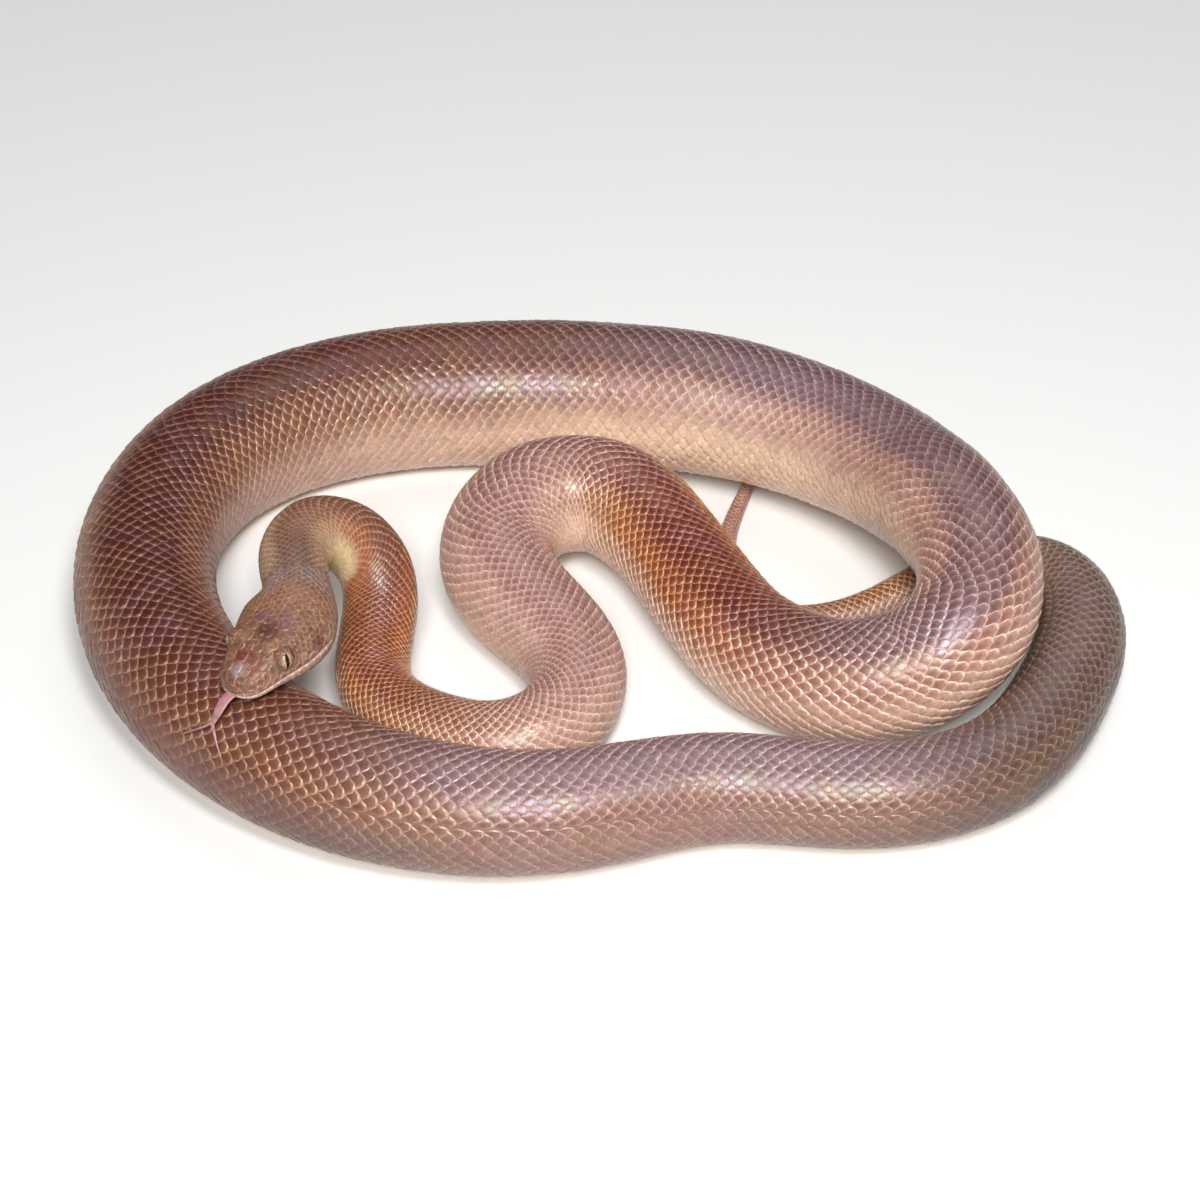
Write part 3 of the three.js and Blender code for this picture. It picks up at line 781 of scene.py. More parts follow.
eye = {
    "at": 19.6, "out": 10.1, "up": 5.85, "radius": 4.6, "bulge": 0.03,
    # where the pupil looks: to the side, up and ahead, and how far the slit leans
    "look": (0.82, 0.42, 0.38),
    "slitLean": 10,
    # the bed under the ball: its radius, how much less it is under the brow, and its height
    # over the ball's middle
    "bed": 3.3, "bedDrawn": 0.8, "bedHeight": 1.2,
    "lidRise": 0.35, "lidAt": 4.2, "lidSpread": 0.6,
    # the brow that covers the crown side of the ball
    "browRadius": 5.07, "browEase": 0.5, "browFaces": (0.05, 0.75), "browReach": 6.5,
    "slitHalfWidth": 0.16, "slitHalfHeight": 0.84,
    "rings": 40, "sides": 48,
}
eyeLine, eyeWay, eyeLeft, eyeUp, _ = alongLine(np.array(eye["at"]))


def eyeMiddle(side):
    return eyeLine + side * eye["out"] * eyeLeft + eye["up"] * eyeUp


def eyeAxis(side):
    angle = side * math.atan2(eye["out"], eye["up"])
    return headNormal(np.array(eye["at"]), np.array(angle))


# Distance from the eye's axis and along it, for points beside the head.
def fromEye(points, side):
    away = points - eyeMiddle(side)
    height = (away * eyeAxis(side)).sum(-1)
    radial = away - height[..., None] * eyeAxis(side)
    return np.linalg.norm(radial, axis=-1), height, radial


# Share of the brow at points beside the head: how far they lie to the crown side of the ball.
def browShare(points, side):
    off, height, radial = fromEye(points, side)
    crown = unit(eyeUp - (eyeUp @ eyeAxis(side)) * eyeAxis(side))
    faces = smoothStep((radial @ crown) / np.maximum(off, 0.1), *eye["browFaces"])
    return faces * (height > -1) * (off < eye["browReach"])


# The brow: where a sphere just over the ball stands higher than the head, h over g, the head
# is drawn out by (h - g + sqrt((h - g)^2 + ease^2)) / 2.
def browDrape(points):
    drawn = np.zeros(points.shape)
    for side in (1, -1):
        off, height, _ = fromEye(points, side)
        over = np.sqrt(np.maximum(eye["browRadius"] ** 2 - off**2, 0)) - height
        gain = (over + np.sqrt(over**2 + eye["browEase"] ** 2)) / 2
        drawn += (browShare(points, side) * gain)[..., None] * eyeAxis(side)
    return drawn


nostril = {"at": 4.2, "angle": 57, "radius": 0.75, "depth": 1.3}


# Soft patches of the head: distance from the snout, angle from the crown towards the animal's
# left, radius in millimetres, share and shade. The pale grey patch on the snout's top is a painted
# highlight. The last flag repeats a patch on the right.
headMarksAndHighlight = {
    "patches": [
        (24.3, 5, 4.6, 0.9, (72, 28, 26), False), (30.2, -24, 3.2, 0.65, (112, 70, 78), False),
        (30.4, 25, 3.0, 0.65, (118, 74, 82), False), (11.7, 14, 2.6, 0.6, (112, 56, 46), False),
        # the pale grey patch 6.6 mm from the snout is a painted highlight on the snout's top
        (11.6, -15, 3.1, 0.85, (98, 38, 34), False), (6.6, -4, 3.2, 0.6, (150, 132, 130), False),
        (2.2, 0, 1.8, 0.5, (118, 54, 50), False), (32.5, 74, 3.0, 0.75, (88, 42, 42), True),
        (35.5, 67, 2.2, 0.45, (98, 52, 46), True), (20.0, 30, 2.6, 0.4, (154, 116, 84), True),
        (42.0, 25, 9.0, 0.35, (138, 92, 62), True), (55.0, 55, 10.0, 0.55, (122, 104, 101), True),
    ],
    "lip": (190, 160, 142),
    "lipShare": 0.85,
    # the pale lips end and begin to fade at these heights over and under the mouth
    "upperLip": (2.0, 0.1),
    "lowerLip": (4.4, 1.8),
}


# Share of each patch falls off as exp(-(distance / radius)^4); later patches lie on earlier ones.
def markAndHighlightAt(at, angle, points):
    tint = np.zeros(points.shape[:-1] + (4,))
    for away, degrees, radius, share, shade, both in headMarksAndHighlight["patches"]:
        for side in (1, -1) if both else (1,):
            middle = headPoint(np.array(float(away)), np.array(side * math.radians(degrees)))
            near = np.linalg.norm(points - middle, axis=-1) / radius
            cover = (share * np.exp(-(near**4)))[..., None]
            tint = tint * (1 - cover) + cover * [*colour(*shade)[:3], 1]
    # pale lips: by height over or under the line of the mouth
    middle, _, _, up, _ = alongLine(at)
    rise = ((points - middle) * up).sum(-1)
    over, under = smoothStep(rise, *headMarksAndHighlight["upperLip"]), smoothStep(-rise, *headMarksAndHighlight["lowerLip"])
    lip = headMarksAndHighlight["lipShare"] * np.where(rise > 0, over, under)
    lip = lip * smoothStep(46 - at, 0, 8) * (np.abs(folded(angle)) > np.pi / 3)
    tint = tint * (1 - lip[..., None]) + lip[..., None] * [*colour(*headMarksAndHighlight["lip"])[:3], 1]
    share = tint[..., 3:]
    shade = tint[..., :3] / np.where(share > 0, share, 1)
    return np.concatenate([shade, share * (at < body["headEnd"])[..., None]], -1)


# Head under its plates: the surface sunk by the plates' depth, with a raised lid and a round
# cup for each eye, and a pit at each nostril.
def headSkin():
    part = (np.arange(head["rings"] + 1) / head["rings"]) ** head["ringPower"]
    at = head["firstRing"] + (body["headEnd"] - head["firstRing"]) * part
    at = at[:, None] + np.zeros(head["sides"])
    angle = np.zeros((len(at), 1)) + fullTurn(head["sides"])
    surface, normal = headPoint(at, angle), headNormal(at, angle)
    deeper = coatDepth(np.array(float(body["headEnd"]))) - head["coatDepth"]
    sunk = head["coatDepth"] + deeper * smoothStep(at, 45, 62)
    points = surface - sunk[..., None] * normal + browDrape(surface)
    for side in (1, -1):
        off, height, radial = fromEye(surface, side)
        brow = browShare(surface, side)
        near = height > -1
        lid = np.where(near, eye["lidRise"] * bell(off, eye["lidAt"], eye["lidSpread"]), 0)
        points = points + (lid * (1 - brow))[..., None] * normal
        bed = near & (off < eye["bed"] - eye["bedDrawn"] * brow)
        under = eyeMiddle(side) + radial + eye["bedHeight"] * eyeAxis(side)
        points = np.where(bed[..., None], under, points)
        hole = headPoint(np.array(nostril["at"]), np.array(side * math.radians(nostril["angle"])))
        away = np.linalg.norm(points - hole, axis=-1)
        points = points - (nostril["depth"] * bell(away, 0, nostril["radius"]))[..., None] * normal
    return at, angle, points, markAndHighlightAt(at, angle, points)


skin = {"sides": 64, "ringStep": 3.3}


# Quads of a tube of rings of points.
def ringQuads(rings, sides, first=0):
    r, c = np.meshgrid(np.arange(rings - 1), np.arange(sides), indexing="ij")
    a, b = first + (r * sides + c).ravel(), first + (r * sides + (c + 1) % sides).ravel()
    return np.stack([a, b, b + sides, a + sides], 1)


# Triangles from a pole to each two neighbours of a ring that begins at the point "first".
def poleFan(pole, sides, first=0):
    k = np.arange(sides)
    return np.stack([np.full(sides, pole), first + k, first + (k + 1) % sides], 1)


# The head's last ring has three points for each point of the body's first ring, and a band of
# triangles joins them. Each end of the animal closes on one point.
def makeSkin():
    headAt, headAngle, headPoints, headMarkAndHighlight = headSkin()
    sides, dense = skin["sides"], head["sides"]
    rings = int((bodyLength - body["headEnd"]) / skin["ringStep"])
    at = np.linspace(body["headEnd"] + 2, bodyLength, rings)[:, None] + np.zeros(sides)
    angle = np.zeros((rings, 1)) + fullTurn(sides)
    bodyPoints = bodySurface(at, angle, -coatDepth(at))
    snout = headPoint(np.array(0.01), np.array(0.0))
    tail = alongLine(np.array(bodyLength + 1.0))[0]
    points = np.concatenate([headPoints.reshape(-1, 3), bodyPoints.reshape(-1, 3), [snout, tail]])
    firstBody = headPoints.shape[0] * dense
    lastHead = firstBody - dense
    count = len(points)
    k = np.arange(sides)
    h = lastHead + 3 * k
    nextH = lastHead + (3 * k + 3) % dense
    b, nextB = firstBody + k, firstBody + (k + 1) % sides
    band = [(h, h + 1, b), (h + 1, h + 2, b), (h + 2, nextB, b), (h + 2, nextH, nextB)]
    band = np.concatenate([np.stack(corner, 1) for corner in band])
    front = poleFan(count - 2, dense)[:, [0, 2, 1]]
    rear = poleFan(count - 1, sides, firstBody + (rings - 1) * sides)
    triangles = np.concatenate([band, front, rear])
    quads = [ringQuads(len(headAt), dense), ringQuads(rings, sides, firstBody)]
    allAt = np.concatenate([headAt.ravel(), at.ravel(), [0, bodyLength]])
    allAngle = np.concatenate([headAngle.ravel(), angle.ravel(), [np.pi / 2, 0]])
    lie = np.abs(folded(allAngle)) / np.pi
    markAndHighlight = np.zeros((count, 4))
    markAndHighlight[:firstBody] = headMarkAndHighlight.reshape(-1, 4)
    perPoint = {"along": allAt / bodyLength, "lie": lie, "tone": np.ones(count), "markAndHighlight": markAndHighlight}
    return makePiece("skin", points, [*quads, triangles], skinMaterial, None, perPoint)


plates = {
    # on each side: distance from the snout, angle from the crown and radius
    "pairs": [
        (3.6, 21, 2.0), (7.2, 14, 2.2), (11.7, 14, 2.9), (16.6, 11, 2.0), (7.4, 42, 1.9),
        (11.4, 41, 2.1), (15.6, 31, 2.3), (20.2, 27, 2.6), (25.0, 31, 2.1), (30.2, 24, 2.4),
        (29.4, 7.5, 1.7), (3.5, 57, 1.8), (6.6, 61, 1.5), (9.5, 62, 1.45), (12.5, 60, 1.4),
        (8.1, 74, 1.2), (11.0, 73, 1.2), (14.2, 72, 1.25),
    ],
    "single": [(24.6, 0, 3.3), (18.6, 0, 1.1), (20.6, 0, 1.0)],
    "labial": {"first": 2.3, "step": 3.25, "count": 11, "over": 1.65, "radius": 1.7},
    "lowerLabial": {"first": 2.1, "step": 3.05, "count": 12, "under": 1.5, "radius": 1.6},
    # scales around the eye, nearer to it by "drawn" on the brow
    "ring": {"count": 13, "radius": 1.1, "away": 4.8, "drawn": 1.4, "eyeReach": 3.0},
    "rows": 12,
    "throatRows": 6,
    "smallRadius": 1.15,
    "jitter": 0.16,
    "spokes": 16,
    "bevel": 0.28,
    "gap": 0.05,
    # heights of a plate's rings, in coat depths over the skin
    "heights": [1.0, 0.94, 0.15],
    "softCorner": 12,
    "rostralEdge": (1.75, 1.15),
    "mentalEdge": (1.5, 1.05),
    # depth of a heat pit, and the stretch of the lower lip that has them
    "pitted": 0.35,
    "pitsFrom": 14,
    "pitsTo": 32,
}


# Angle at which the head's surface stands a given height over the line of the mouth.
def angleAtHeight(at, above):
    width, top, depth, crownPower, jawPower = [curve(at) for curve in headCurves]
    height = np.where(above >= 0, top, depth / body["bellyFlat"])
    power = np.where(above >= 0, crownPower, jawPower)
    aside = width * np.maximum(1 - np.abs(above / height) ** power, 0.01) ** (1 / power)
    return np.arctan2(aside, above)


# Each site: distance from the snout, angle, radius, jaw (1 upper, -1 lower), 1 if on a lip.
def plateSites():
    sites = []
    for at, degrees, radius in plates["pairs"]:
        sites += [(at, side * math.radians(degrees), radius, 1, 0) for side in (1, -1)]
    sites += [(at, math.radians(degrees), radius, 1, 0) for at, degrees, radius in plates["single"]]
    for kind, sign in (("labial", 1), ("lowerLabial", -1)):
        lip = plates[kind]
        at = lip["first"] + lip["step"] * np.arange(lip["count"])
        above = lip["over"] if sign > 0 else -lip["under"]
        for one, angle in zip(at, angleAtHeight(at, np.full(len(at), above))):
            sites += [(one, side * angle, lip["radius"], sign, 1) for side in (1, -1)]
    ring = plates["ring"]
    turn = 2 * np.pi * (np.arange(ring["count"]) + 0.5) / ring["count"]
    for side in (1, -1):
        rootAngle = side * math.atan2(eye["out"], eye["up"])
        away = ring["away"] - ring["drawn"] * smoothStep(-side * np.sin(turn), *eye["browFaces"])
        at, angle = headStep(eye["at"], rootAngle, away * np.cos(turn), away * np.sin(turn))
        clear = np.abs(angle) < angleAtHeight(at, np.full(len(at), 2.0))
        sites += [(a, b, ring["radius"], 1, 0) for a, b in zip(at[clear], angle[clear])]
    return sites


# Small scales on a lattice whose rows share the girth evenly and meet the rows of the neck; a
# place too near a plate, a lip scale or an eye is left out.
def fillSites(sites):
    taken = np.array(sites)
    takenPoints = headPoint(taken[:, 0], taken[:, 1])
    fine = np.radians(np.linspace(0, 90, 91))
    rowStep = rowAngle(np.array(1), np.array(float(body["headEnd"])))
    column, columns = 5.4, []
    while column < 58.3:
        columns.append(column)
        column += 1.1 + 0.35 * smoothStep(column, 26, 56)
    for number, at in enumerate(columns):
        arc = headPoint(np.full(91, at), fine)
        length = walked(arc)
        rows = np.arange(number % 2, plates["rows"], 2) * rowStep / (np.pi / 2)
        upper = np.interp(rows * length[-1], length, fine)
        throat = np.arange(number % 2, 2 * plates["throatRows"], 2) + 0.4
        lower = np.pi - throat * 0.5 * np.radians(13)
        lower = lower[lower > np.radians(101)]
        for angles, jaw in ((upper, 1), (lower, -1)):
            for angle in angles:
                for side in (1, -1) if 1e-3 < angle < np.pi - 1e-3 else (1,):
                    jitter = plates["jitter"] * chance.standard_normal(2) * (at < 50)
                    place = (at + jitter[0], side * angle + jitter[1] / 12)
                    point = headPoint(np.array(place[0]), np.array(place[1]))
                    gapTo = np.linalg.norm(takenPoints - point, axis=1) - taken[:, 2]
                    same = taken[:, 3] == jaw
                    off, height, _ = fromEye(point, side)
                    nearEye = off < plates["ring"]["away"] + 1.3 and height > -2
                    if gapTo[same].min() > 0.85 and not nearEye:
                        sites.append((*place, plates["smallRadius"], jaw, 0))
    return np.array(sites)


# Each plate's outline is its cell among its neighbours: along a spoke of direction e the
# border to a neighbour at offset D lies at (|D|^2 + r^2 - R^2) / (2 e.D), and the borders of
# all neighbours join by a soft least value that rounds the corners.
def plateOutlines(sites):
    at, angle, radius = sites[:, 0], sites[:, 1], sites[:, 2]
    roots, tail, side = headRoot(at, angle)
    others = np.concatenate([roots, [eyeMiddle(1) + eyeAxis(1), eyeMiddle(-1) + eyeAxis(-1)]])
    reach = np.concatenate([radius, [plates["ring"]["eyeReach"]] * 2])
    jaws = np.concatenate([sites[:, 3], [1, 1]])
    offset = others[None] - roots[:, None]
    square = (offset**2).sum(-1)
    turn = fullTurn(plates["spokes"])
    x = np.einsum("ijk,ik->ij", offset, tail)
    y = np.einsum("ijk,ik->ij", offset, side)
    toward = x[:, None] * np.cos(turn)[:, None] + y[:, None] * np.sin(turn)[:, None]
    limit = (square + radius[:, None] ** 2 - reach[None] ** 2)[:, None] / 2
    near = (jaws[None] == sites[:, 3, None]) & (square < 90)
    counts = (toward > 1e-6) & near[:, None]
    border = np.where(counts, np.maximum(limit, 0.05) / np.where(counts, toward, 1), 99)
    power = plates["softCorner"]
    soft = (np.minimum(border, 60) ** -float(power)).sum(-1) ** (-1 / power)
    return np.minimum(soft, 1.5 * radius[:, None] + 0.6) - plates["gap"], turn


def makePlates():
    sites = fillSites(plateSites())
    outline, turn = plateOutlines(sites)
    spokes, bevel = plates["spokes"], plates["bevel"]
    outline = np.maximum(outline, 0.3)
    inner, shoulder = outline * 0.5, np.maximum(outline - bevel, outline * 0.7)
    rings = np.stack([inner, shoulder, outline], 1)
    small = np.clip(sites[:, 2] / 2.2, 0.55, 1.15)[:, None, None]
    heights = np.array(plates["heights"])[None, :, None] * small + np.zeros(rings.shape)
    rootAt, rootAngle = sites[:, 0, None, None], sites[:, 1, None, None]
    at, angle = headStep(rootAt, rootAngle, rings * np.cos(turn), rings * np.sin(turn))
    count = len(sites)
    at = np.concatenate([sites[:, :1], at.reshape(count, -1)], 1)
    angle = np.concatenate([sites[:, 1:2], angle.reshape(count, -1)], 1)
    height = np.concatenate([small[:, 0] * 1.02, heights.reshape(count, -1)], 1)
    pits = (sites[:, 4] > 0) & (sites[:, 3] < 0)
    pits &= (sites[:, 0] > plates["pitsFrom"]) & (sites[:, 0] < plates["pitsTo"])
    height[:, 0] = np.where(pits, -plates["pitted"], height[:, 0])
    # the mouth and the two plates at the tip of the snout keep the others off
    wrapped = folded(angle)
    size = np.abs(wrapped)
    upper = sites[:, 3, None] > 0
    lip = np.pi / 2
    gape = np.radians(1.1)
    size = np.where(upper, np.minimum(size, lip - gape), np.maximum(size, lip + gape))
    angle = np.where(wrapped < 0, -size, size)
    rostral, mental = tipEdge(plates["rostralEdge"], size), tipEdge(plates["mentalEdge"], np.pi - size)
    at = np.maximum(at, np.where(upper, rostral, mental) + 0.12)
    lift = head["coatDepth"] * (height - 1)
    surface = headPoint(at, angle)
    points = surface + lift[..., None] * headNormal(at, angle) + browDrape(surface)
    per = 1 + 3 * spokes
    first = np.arange(count)[:, None] * per
    s, n = np.arange(spokes), (np.arange(spokes) + 1) % spokes
    centre = np.stack([first + np.zeros_like(s), first + 1 + s, first + 1 + n], -1).reshape(-1, 3)
    bands = [
        np.stack([first + 1 + r * spokes + s, first + 1 + (r + 1) * spokes + s,
                  first + 1 + (r + 1) * spokes + n, first + 1 + r * spokes + n], -1).reshape(-1, 4)
        for r in range(2)
    ]
    edgeMark = np.concatenate([[0], np.repeat([0.5, 0.85, 1.0], spokes)])
    edgeMark = np.tile(edgeMark, count)
    tone = np.repeat(1 + 0.08 * chance.standard_normal(count), per)
    faceSets, allPoints, total = [centre, *bands], [points.reshape(-1, 3)], count * per
    marks = {"at": [at.ravel()], "angle": [angle.ravel()], "edge": [edgeMark], "tone": [tone]}
    for tipPoints, tipFaces, *tipMarks in (tipPlate(1), tipPlate(-1)):
        allPoints.append(tipPoints)
        faceSets.append(tipFaces + total)
        total += len(tipPoints)
        for key, values in zip(marks, (*tipMarks, np.ones(len(tipPoints)))):
            marks[key].append(values)
    marks = {key: np.concatenate(parts) for key, parts in marks.items()}
    allPoints = np.concatenate(allPoints)
    loops = np.concatenate([faces.ravel() for faces in faceSets])
    owner = np.concatenate([np.repeat(np.arange(count), per), np.full(total - count * per, count)])
    home = np.concatenate([sites[:, 1], [0]])[owner[loops]]
    turnOff = folded(marks["angle"][loops] - home)
    bake = np.stack([((home + turnOff) / (2 * np.pi) + 0.5), marks["at"][loops] / 64], -1)
    perPoint = {
        "along": marks["at"] / bodyLength,
        "lie": np.abs(folded(marks["angle"])) / np.pi,
        "tone": marks["tone"],
        "edge": marks["edge"],
        "markAndHighlight": markAndHighlightAt(marks["at"], marks["angle"], allPoints),
    }
    return makePiece("head_plates", allPoints, faceSets, plateMaterial, {"OFBake": bake}, perPoint)


# Rear edge of the plate at the snout's tip: farther back on the middle than at the mouth.
def tipEdge(edges, size):
    return edges[1] + (edges[0] - edges[1]) * np.cos(np.clip(size, 0, np.pi / 2)) ** 2


# The plate at the tip of each jaw: a half disc, wrapped over the blunt end of the snout.
def tipPlate(jaw):
    gape = np.radians(1.5)
    edges = plates["rostralEdge"] if jaw > 0 else plates["mentalEdge"]
    size = np.linspace(-1, 1, 25) * (np.pi / 2 - gape)
    ring = np.array([0.02, 0.25, 0.6, 0.88, 1.0])
    at = 0.05 + ring[:, None] * (tipEdge(edges, np.abs(size)) - 0.05)
    angle = size[None] + np.zeros_like(at)
    angle = angle if jaw > 0 else np.pi - angle
    beside = (np.abs(size) / (np.pi / 2 - gape)) ** 8
    mark = np.maximum(np.array([0, 0, 0.4, 0.85, 1.0])[:, None], beside)
    height = np.where(mark >= 1, -0.6, 0.95)
    lift = head["coatDepth"] * (height - 1)
    points = headPoint(at, angle) + lift[..., None] * headNormal(at, angle)
    quads = gridQuads(*at.shape)[:, ::-1]
    return points.reshape(-1, 3), quads, at.ravel(), angle.ravel(), mark.ravel()


plateFinish = {
    "seamTint": (1.75, 1.8, 1.8, 1.0),
    "seamShare": 0.8,
    # pale and dark mottling finer than the plates, and the share of each
    "pale": colour(190, 150, 120),
    "paleShare": 0.42,
    "dark": colour(84, 42, 34),
    "darkShare": 0.6,
    "specular": 0.35,
    "roughness": 0.42,
    "grain": 2400.0,
    "bump": (0.00006, 0.4),
    "filmNanometres": (430, 540),
    "filmIor": 1.45,
}


def makePlateMaterial():
    finish = plateFinish
    material, tree, shader = newMaterial("headPlates")
    base = withMarkAndHighlight(tree, bodyColour(tree))
    mottle = noise(tree, objectPlace(tree), 620.0, 5.0, 0.62, 0.6)
    pale = mapSmooth(tree, mottle, 0.53, 0.7, 0.0, finish["paleShare"])
    dark = mapSmooth(tree, mottle, 0.48, 0.32, 0.0, finish["darkShare"])
    base = mixColour(tree, pale, base, finish["pale"])
    base = mixColour(tree, dark, base, finish["dark"])
    edge = mapSmooth(tree, readAttribute(tree, "edge"), 0.6, 0.95, 0.0, finish["seamShare"])
    full = mixColour(tree, edge, base, finish["seamTint"], "MULTIPLY")
    tree.links.new(full, shader.inputs["Base Color"])
    addGrain(tree, shader, finish)
    setGloss(tree, shader, finish)
    return material


plateMaterial = makePlateMaterial()

eyeFinish = {
    "band": colour(174, 148, 114),
    "iris": colour(112, 84, 60),
    "irisRim": colour(56, 38, 28),
    "rimStarts": 0.6,
    "rimFull": 0.84,
    "pupil": colour(12, 8, 7),
    "bandWidth": 0.44,
    "roughness": 0.3,
}


# Ball about the pupil's axis: rings of constant turn t from the axis, with radius
# R (1 + bulge * cos(t)^6) so that the clear scale over the eye stands out a little.
def makeEye(side):
    name = "eye_left_ball" if side > 0 else "eye_right_ball"
    aside, above, ahead = eye["look"]
    axis = unit(side * aside * eyeLeft + above * eyeUp - ahead * eyeWay)
    tall = unit(eyeUp - (eyeUp @ axis) * axis)
    lean = math.radians(eye["slitLean"])
    tall = math.cos(lean) * tall + side * math.sin(lean) * np.cross(tall, axis)
    wide = np.cross(tall, axis)
    rings, sides = eye["rings"], eye["sides"]
    turn = np.linspace(0, np.pi, rings + 2)[1:-1, None]
    around = fullTurn(sides)
    x, y = np.sin(turn) * np.cos(around), np.sin(turn) * np.sin(around)
    z = np.cos(turn) + 0 * around
    size = eye["radius"] * (1 + eye["bulge"] * np.maximum(z, 0) ** 6)
    shape = (size * x)[..., None] * wide + (size * y)[..., None] * tall + (size * z)[..., None] * axis
    poles = [axis * eye["radius"] * (1 + eye["bulge"]), -axis * eye["radius"]]
    points = np.concatenate([shape.reshape(-1, 3), poles]) + eyeMiddle(side)
    quads = ringQuads(rings, sides)[:, ::-1]
    total = rings * sides
    caps = [poleFan(total, sides), poleFan(total + 1, sides, total - sides)[:, [0, 2, 1]]]
    ends = {"irisX": (x, [0, 0]), "irisY": (y, [0, 0]), "irisZ": (z, [1, -1])}
    iris = {key: np.concatenate([ball.ravel(), tips]) for key, (ball, tips) in ends.items()}
    return makePiece(name, points, [quads, *caps], eyeMaterial, None, iris)


def makeEyeMaterial():
    finish = eyeFinish
    material, tree, shader = newMaterial("eyeGloss")
    x, y, z = [readAttribute(tree, name) for name in ("irisX", "irisY", "irisZ")]
    rise = mathNode(tree, "DIVIDE", y, eye["slitHalfHeight"])
    room = mathNode(tree, "SUBTRACT", 1.0, mathNode(tree, "MULTIPLY", rise, rise))
    allowed = mathNode(tree, "MULTIPLY", mathNode(tree, "MAXIMUM", room, 0.0), eye["slitHalfWidth"])
    past = mathNode(tree, "SUBTRACT", mathNode(tree, "ABSOLUTE", x), allowed)
    slit = mapSmooth(tree, past, 0.03, -0.03)
    squares = [mathNode(tree, "MULTIPLY", part, part) for part in (x, y)]
    away = mathNode(tree, "SQRT", mathNode(tree, "ADD", *squares))
    rays = {0: mathNode(tree, "MULTIPLY", x, 2.2), 1: y, 2: z}
    rays = addNode(tree, "ShaderNodeCombineXYZ", inputs=rays).outputs[0]
    ruffle = mapSmooth(tree, noise(tree, rays, 6.0, 5.0), *noiseSpan, -0.14, 0.14)
    beside = mathNode(tree, "ADD", past, ruffle)
    band = mapSmooth(tree, beside, finish["bandWidth"], 0.08)
    inner = mixColour(tree, band, finish["iris"], finish["band"])
    outward = mathNode(tree, "ADD", away, mathNode(tree, "MULTIPLY", ruffle, 0.6))
    dark = mapSmooth(tree, outward, finish["rimStarts"], finish["rimFull"])
    outer = mixColour(tree, dark, inner, finish["irisRim"])
    whole = mixColour(tree, slit, outer, finish["pupil"])
    tree.links.new(whole, shader.inputs["Base Color"])
    shader.inputs["Roughness"].default_value = finish["roughness"]
    shader.inputs["Coat Weight"].default_value = 0.35
    shader.inputs["Coat Roughness"].default_value = 0.08
    return material


eyeMaterial = makeEyeMaterial()

tongue = {
    # points from the tip of the snout: ahead, to the left and up
    "root": [-4.5, 0, -0.1],
    "stem": [[-0.5, -0.9, -0.1], [3.4, -1.9, -1.6], [6.9, -2.6, -4.6], [8.9, -3.7, -7.8]],
    "rightTine": [[10.4, -6.5, -10.3], [11.1, -10.3, -13.1], [11.8, -15.7, -16.8]],
    "leftTine": [[10.3, -2.6, -11], [12.8, 0.1, -14.4], [15, 3.2, -17.8]],
    "halfWidth": 2.5, "halfHeight": 0.72, "forkHalfWidth": 0.9, "tineTip": 0.26,
    # width and height of the stem at the fork, as shares of those at the root
    "stemTaper": (0.74, 0.85),
    "sides": 20, "steps": 48, "voxel": 0.16,
    "base": colour(152, 100, 106), "blotch": colour(176, 132, 130), "tip": colour(126, 98, 86),
    # heights between which the pink passes into the greyer tines, in millimetres
    "tipFade": (43, 36), "roughness": 0.36,
}


# Oval tube along a smooth curve through points, half width and height going evenly from one
# end's values to the other's, each end closed on a point.
def tongueTube(points, start, end):
    middle, way, left, _, _ = alongLine(np.array(0.0))
    ahead = unit(-way * [1, 1, 0])
    points = np.array(points, float)
    places = middle + points[:, :1] * ahead + points[:, 1:2] * left + points[:, 2:] * [0, 0, 1]
    knots = walked(places)
    q = np.linspace(0, knots[-1], tongue["steps"])
    line = np.stack([naturalCurve(knots, places[:, axis])(q) for axis in range(3)], 1)
    along = unit(np.gradient(line, axis=0))
    aside = unit(np.cross(along, [0, 0, 1]))
    above = np.cross(aside, along)
    part = (q / knots[-1])[:, None]
    halfWidth, halfHeight = [a + (b - a) * part for a, b in zip(start, end)]
    turn = fullTurn(tongue["sides"])
    shape = line[:, None] + (halfWidth * np.sin(turn))[..., None] * aside[:, None]
    shape = shape + (halfHeight * np.cos(turn))[..., None] * above[:, None]
    return np.concatenate([shape.reshape(-1, 3), line[:1], line[-1:]])


def makeTongue():
    width, height, tip = tongue["halfWidth"], tongue["halfHeight"], tongue["tineTip"]
    stem = [tongue["root"], *tongue["stem"]]
    narrow, flat = tongue["stemTaper"]
    tubes = [tongueTube(stem, (width, height), (width * narrow, height * flat))]
    for tine in ("rightTine", "leftTine"):
        path = [*tongue["stem"][-2:], *tongue[tine]]
        tubes.append(tongueTube(path, (tongue["forkHalfWidth"], height * 0.8), (tip, tip)))
    steps, sides = tongue["steps"], tongue["sides"]
    faceSets, first = [], 0
    for tube in tubes:
        pole = first + steps * sides
        faceSets.append(ringQuads(steps, sides, first))
        faceSets.append(poleFan(pole, sides, first)[:, [0, 2, 1]])
        faceSets.append(poleFan(pole + 1, sides, pole - sides))
        first += len(tube)
    piece = makePiece("tongue_forked", np.concatenate(tubes), faceSets, tongueMaterial)
    remesh = piece.modifiers.new("join", "REMESH")
    remesh.mode, remesh.voxel_size, remesh.use_smooth_shade = "VOXEL", tongue["voxel"] * mm, True
    smooth = piece.modifiers.new("soften", "SMOOTH")
    smooth.factor, smooth.iterations = 0.5, 4
    view = bpy.context.evaluated_depsgraph_get()
    joined = bpy.data.meshes.new_from_object(piece.evaluated_get(view))
    piece.modifiers.clear()
    piece.data = joined
    if not joined.materials:
        joined.materials.append(tongueMaterial)
    return piece


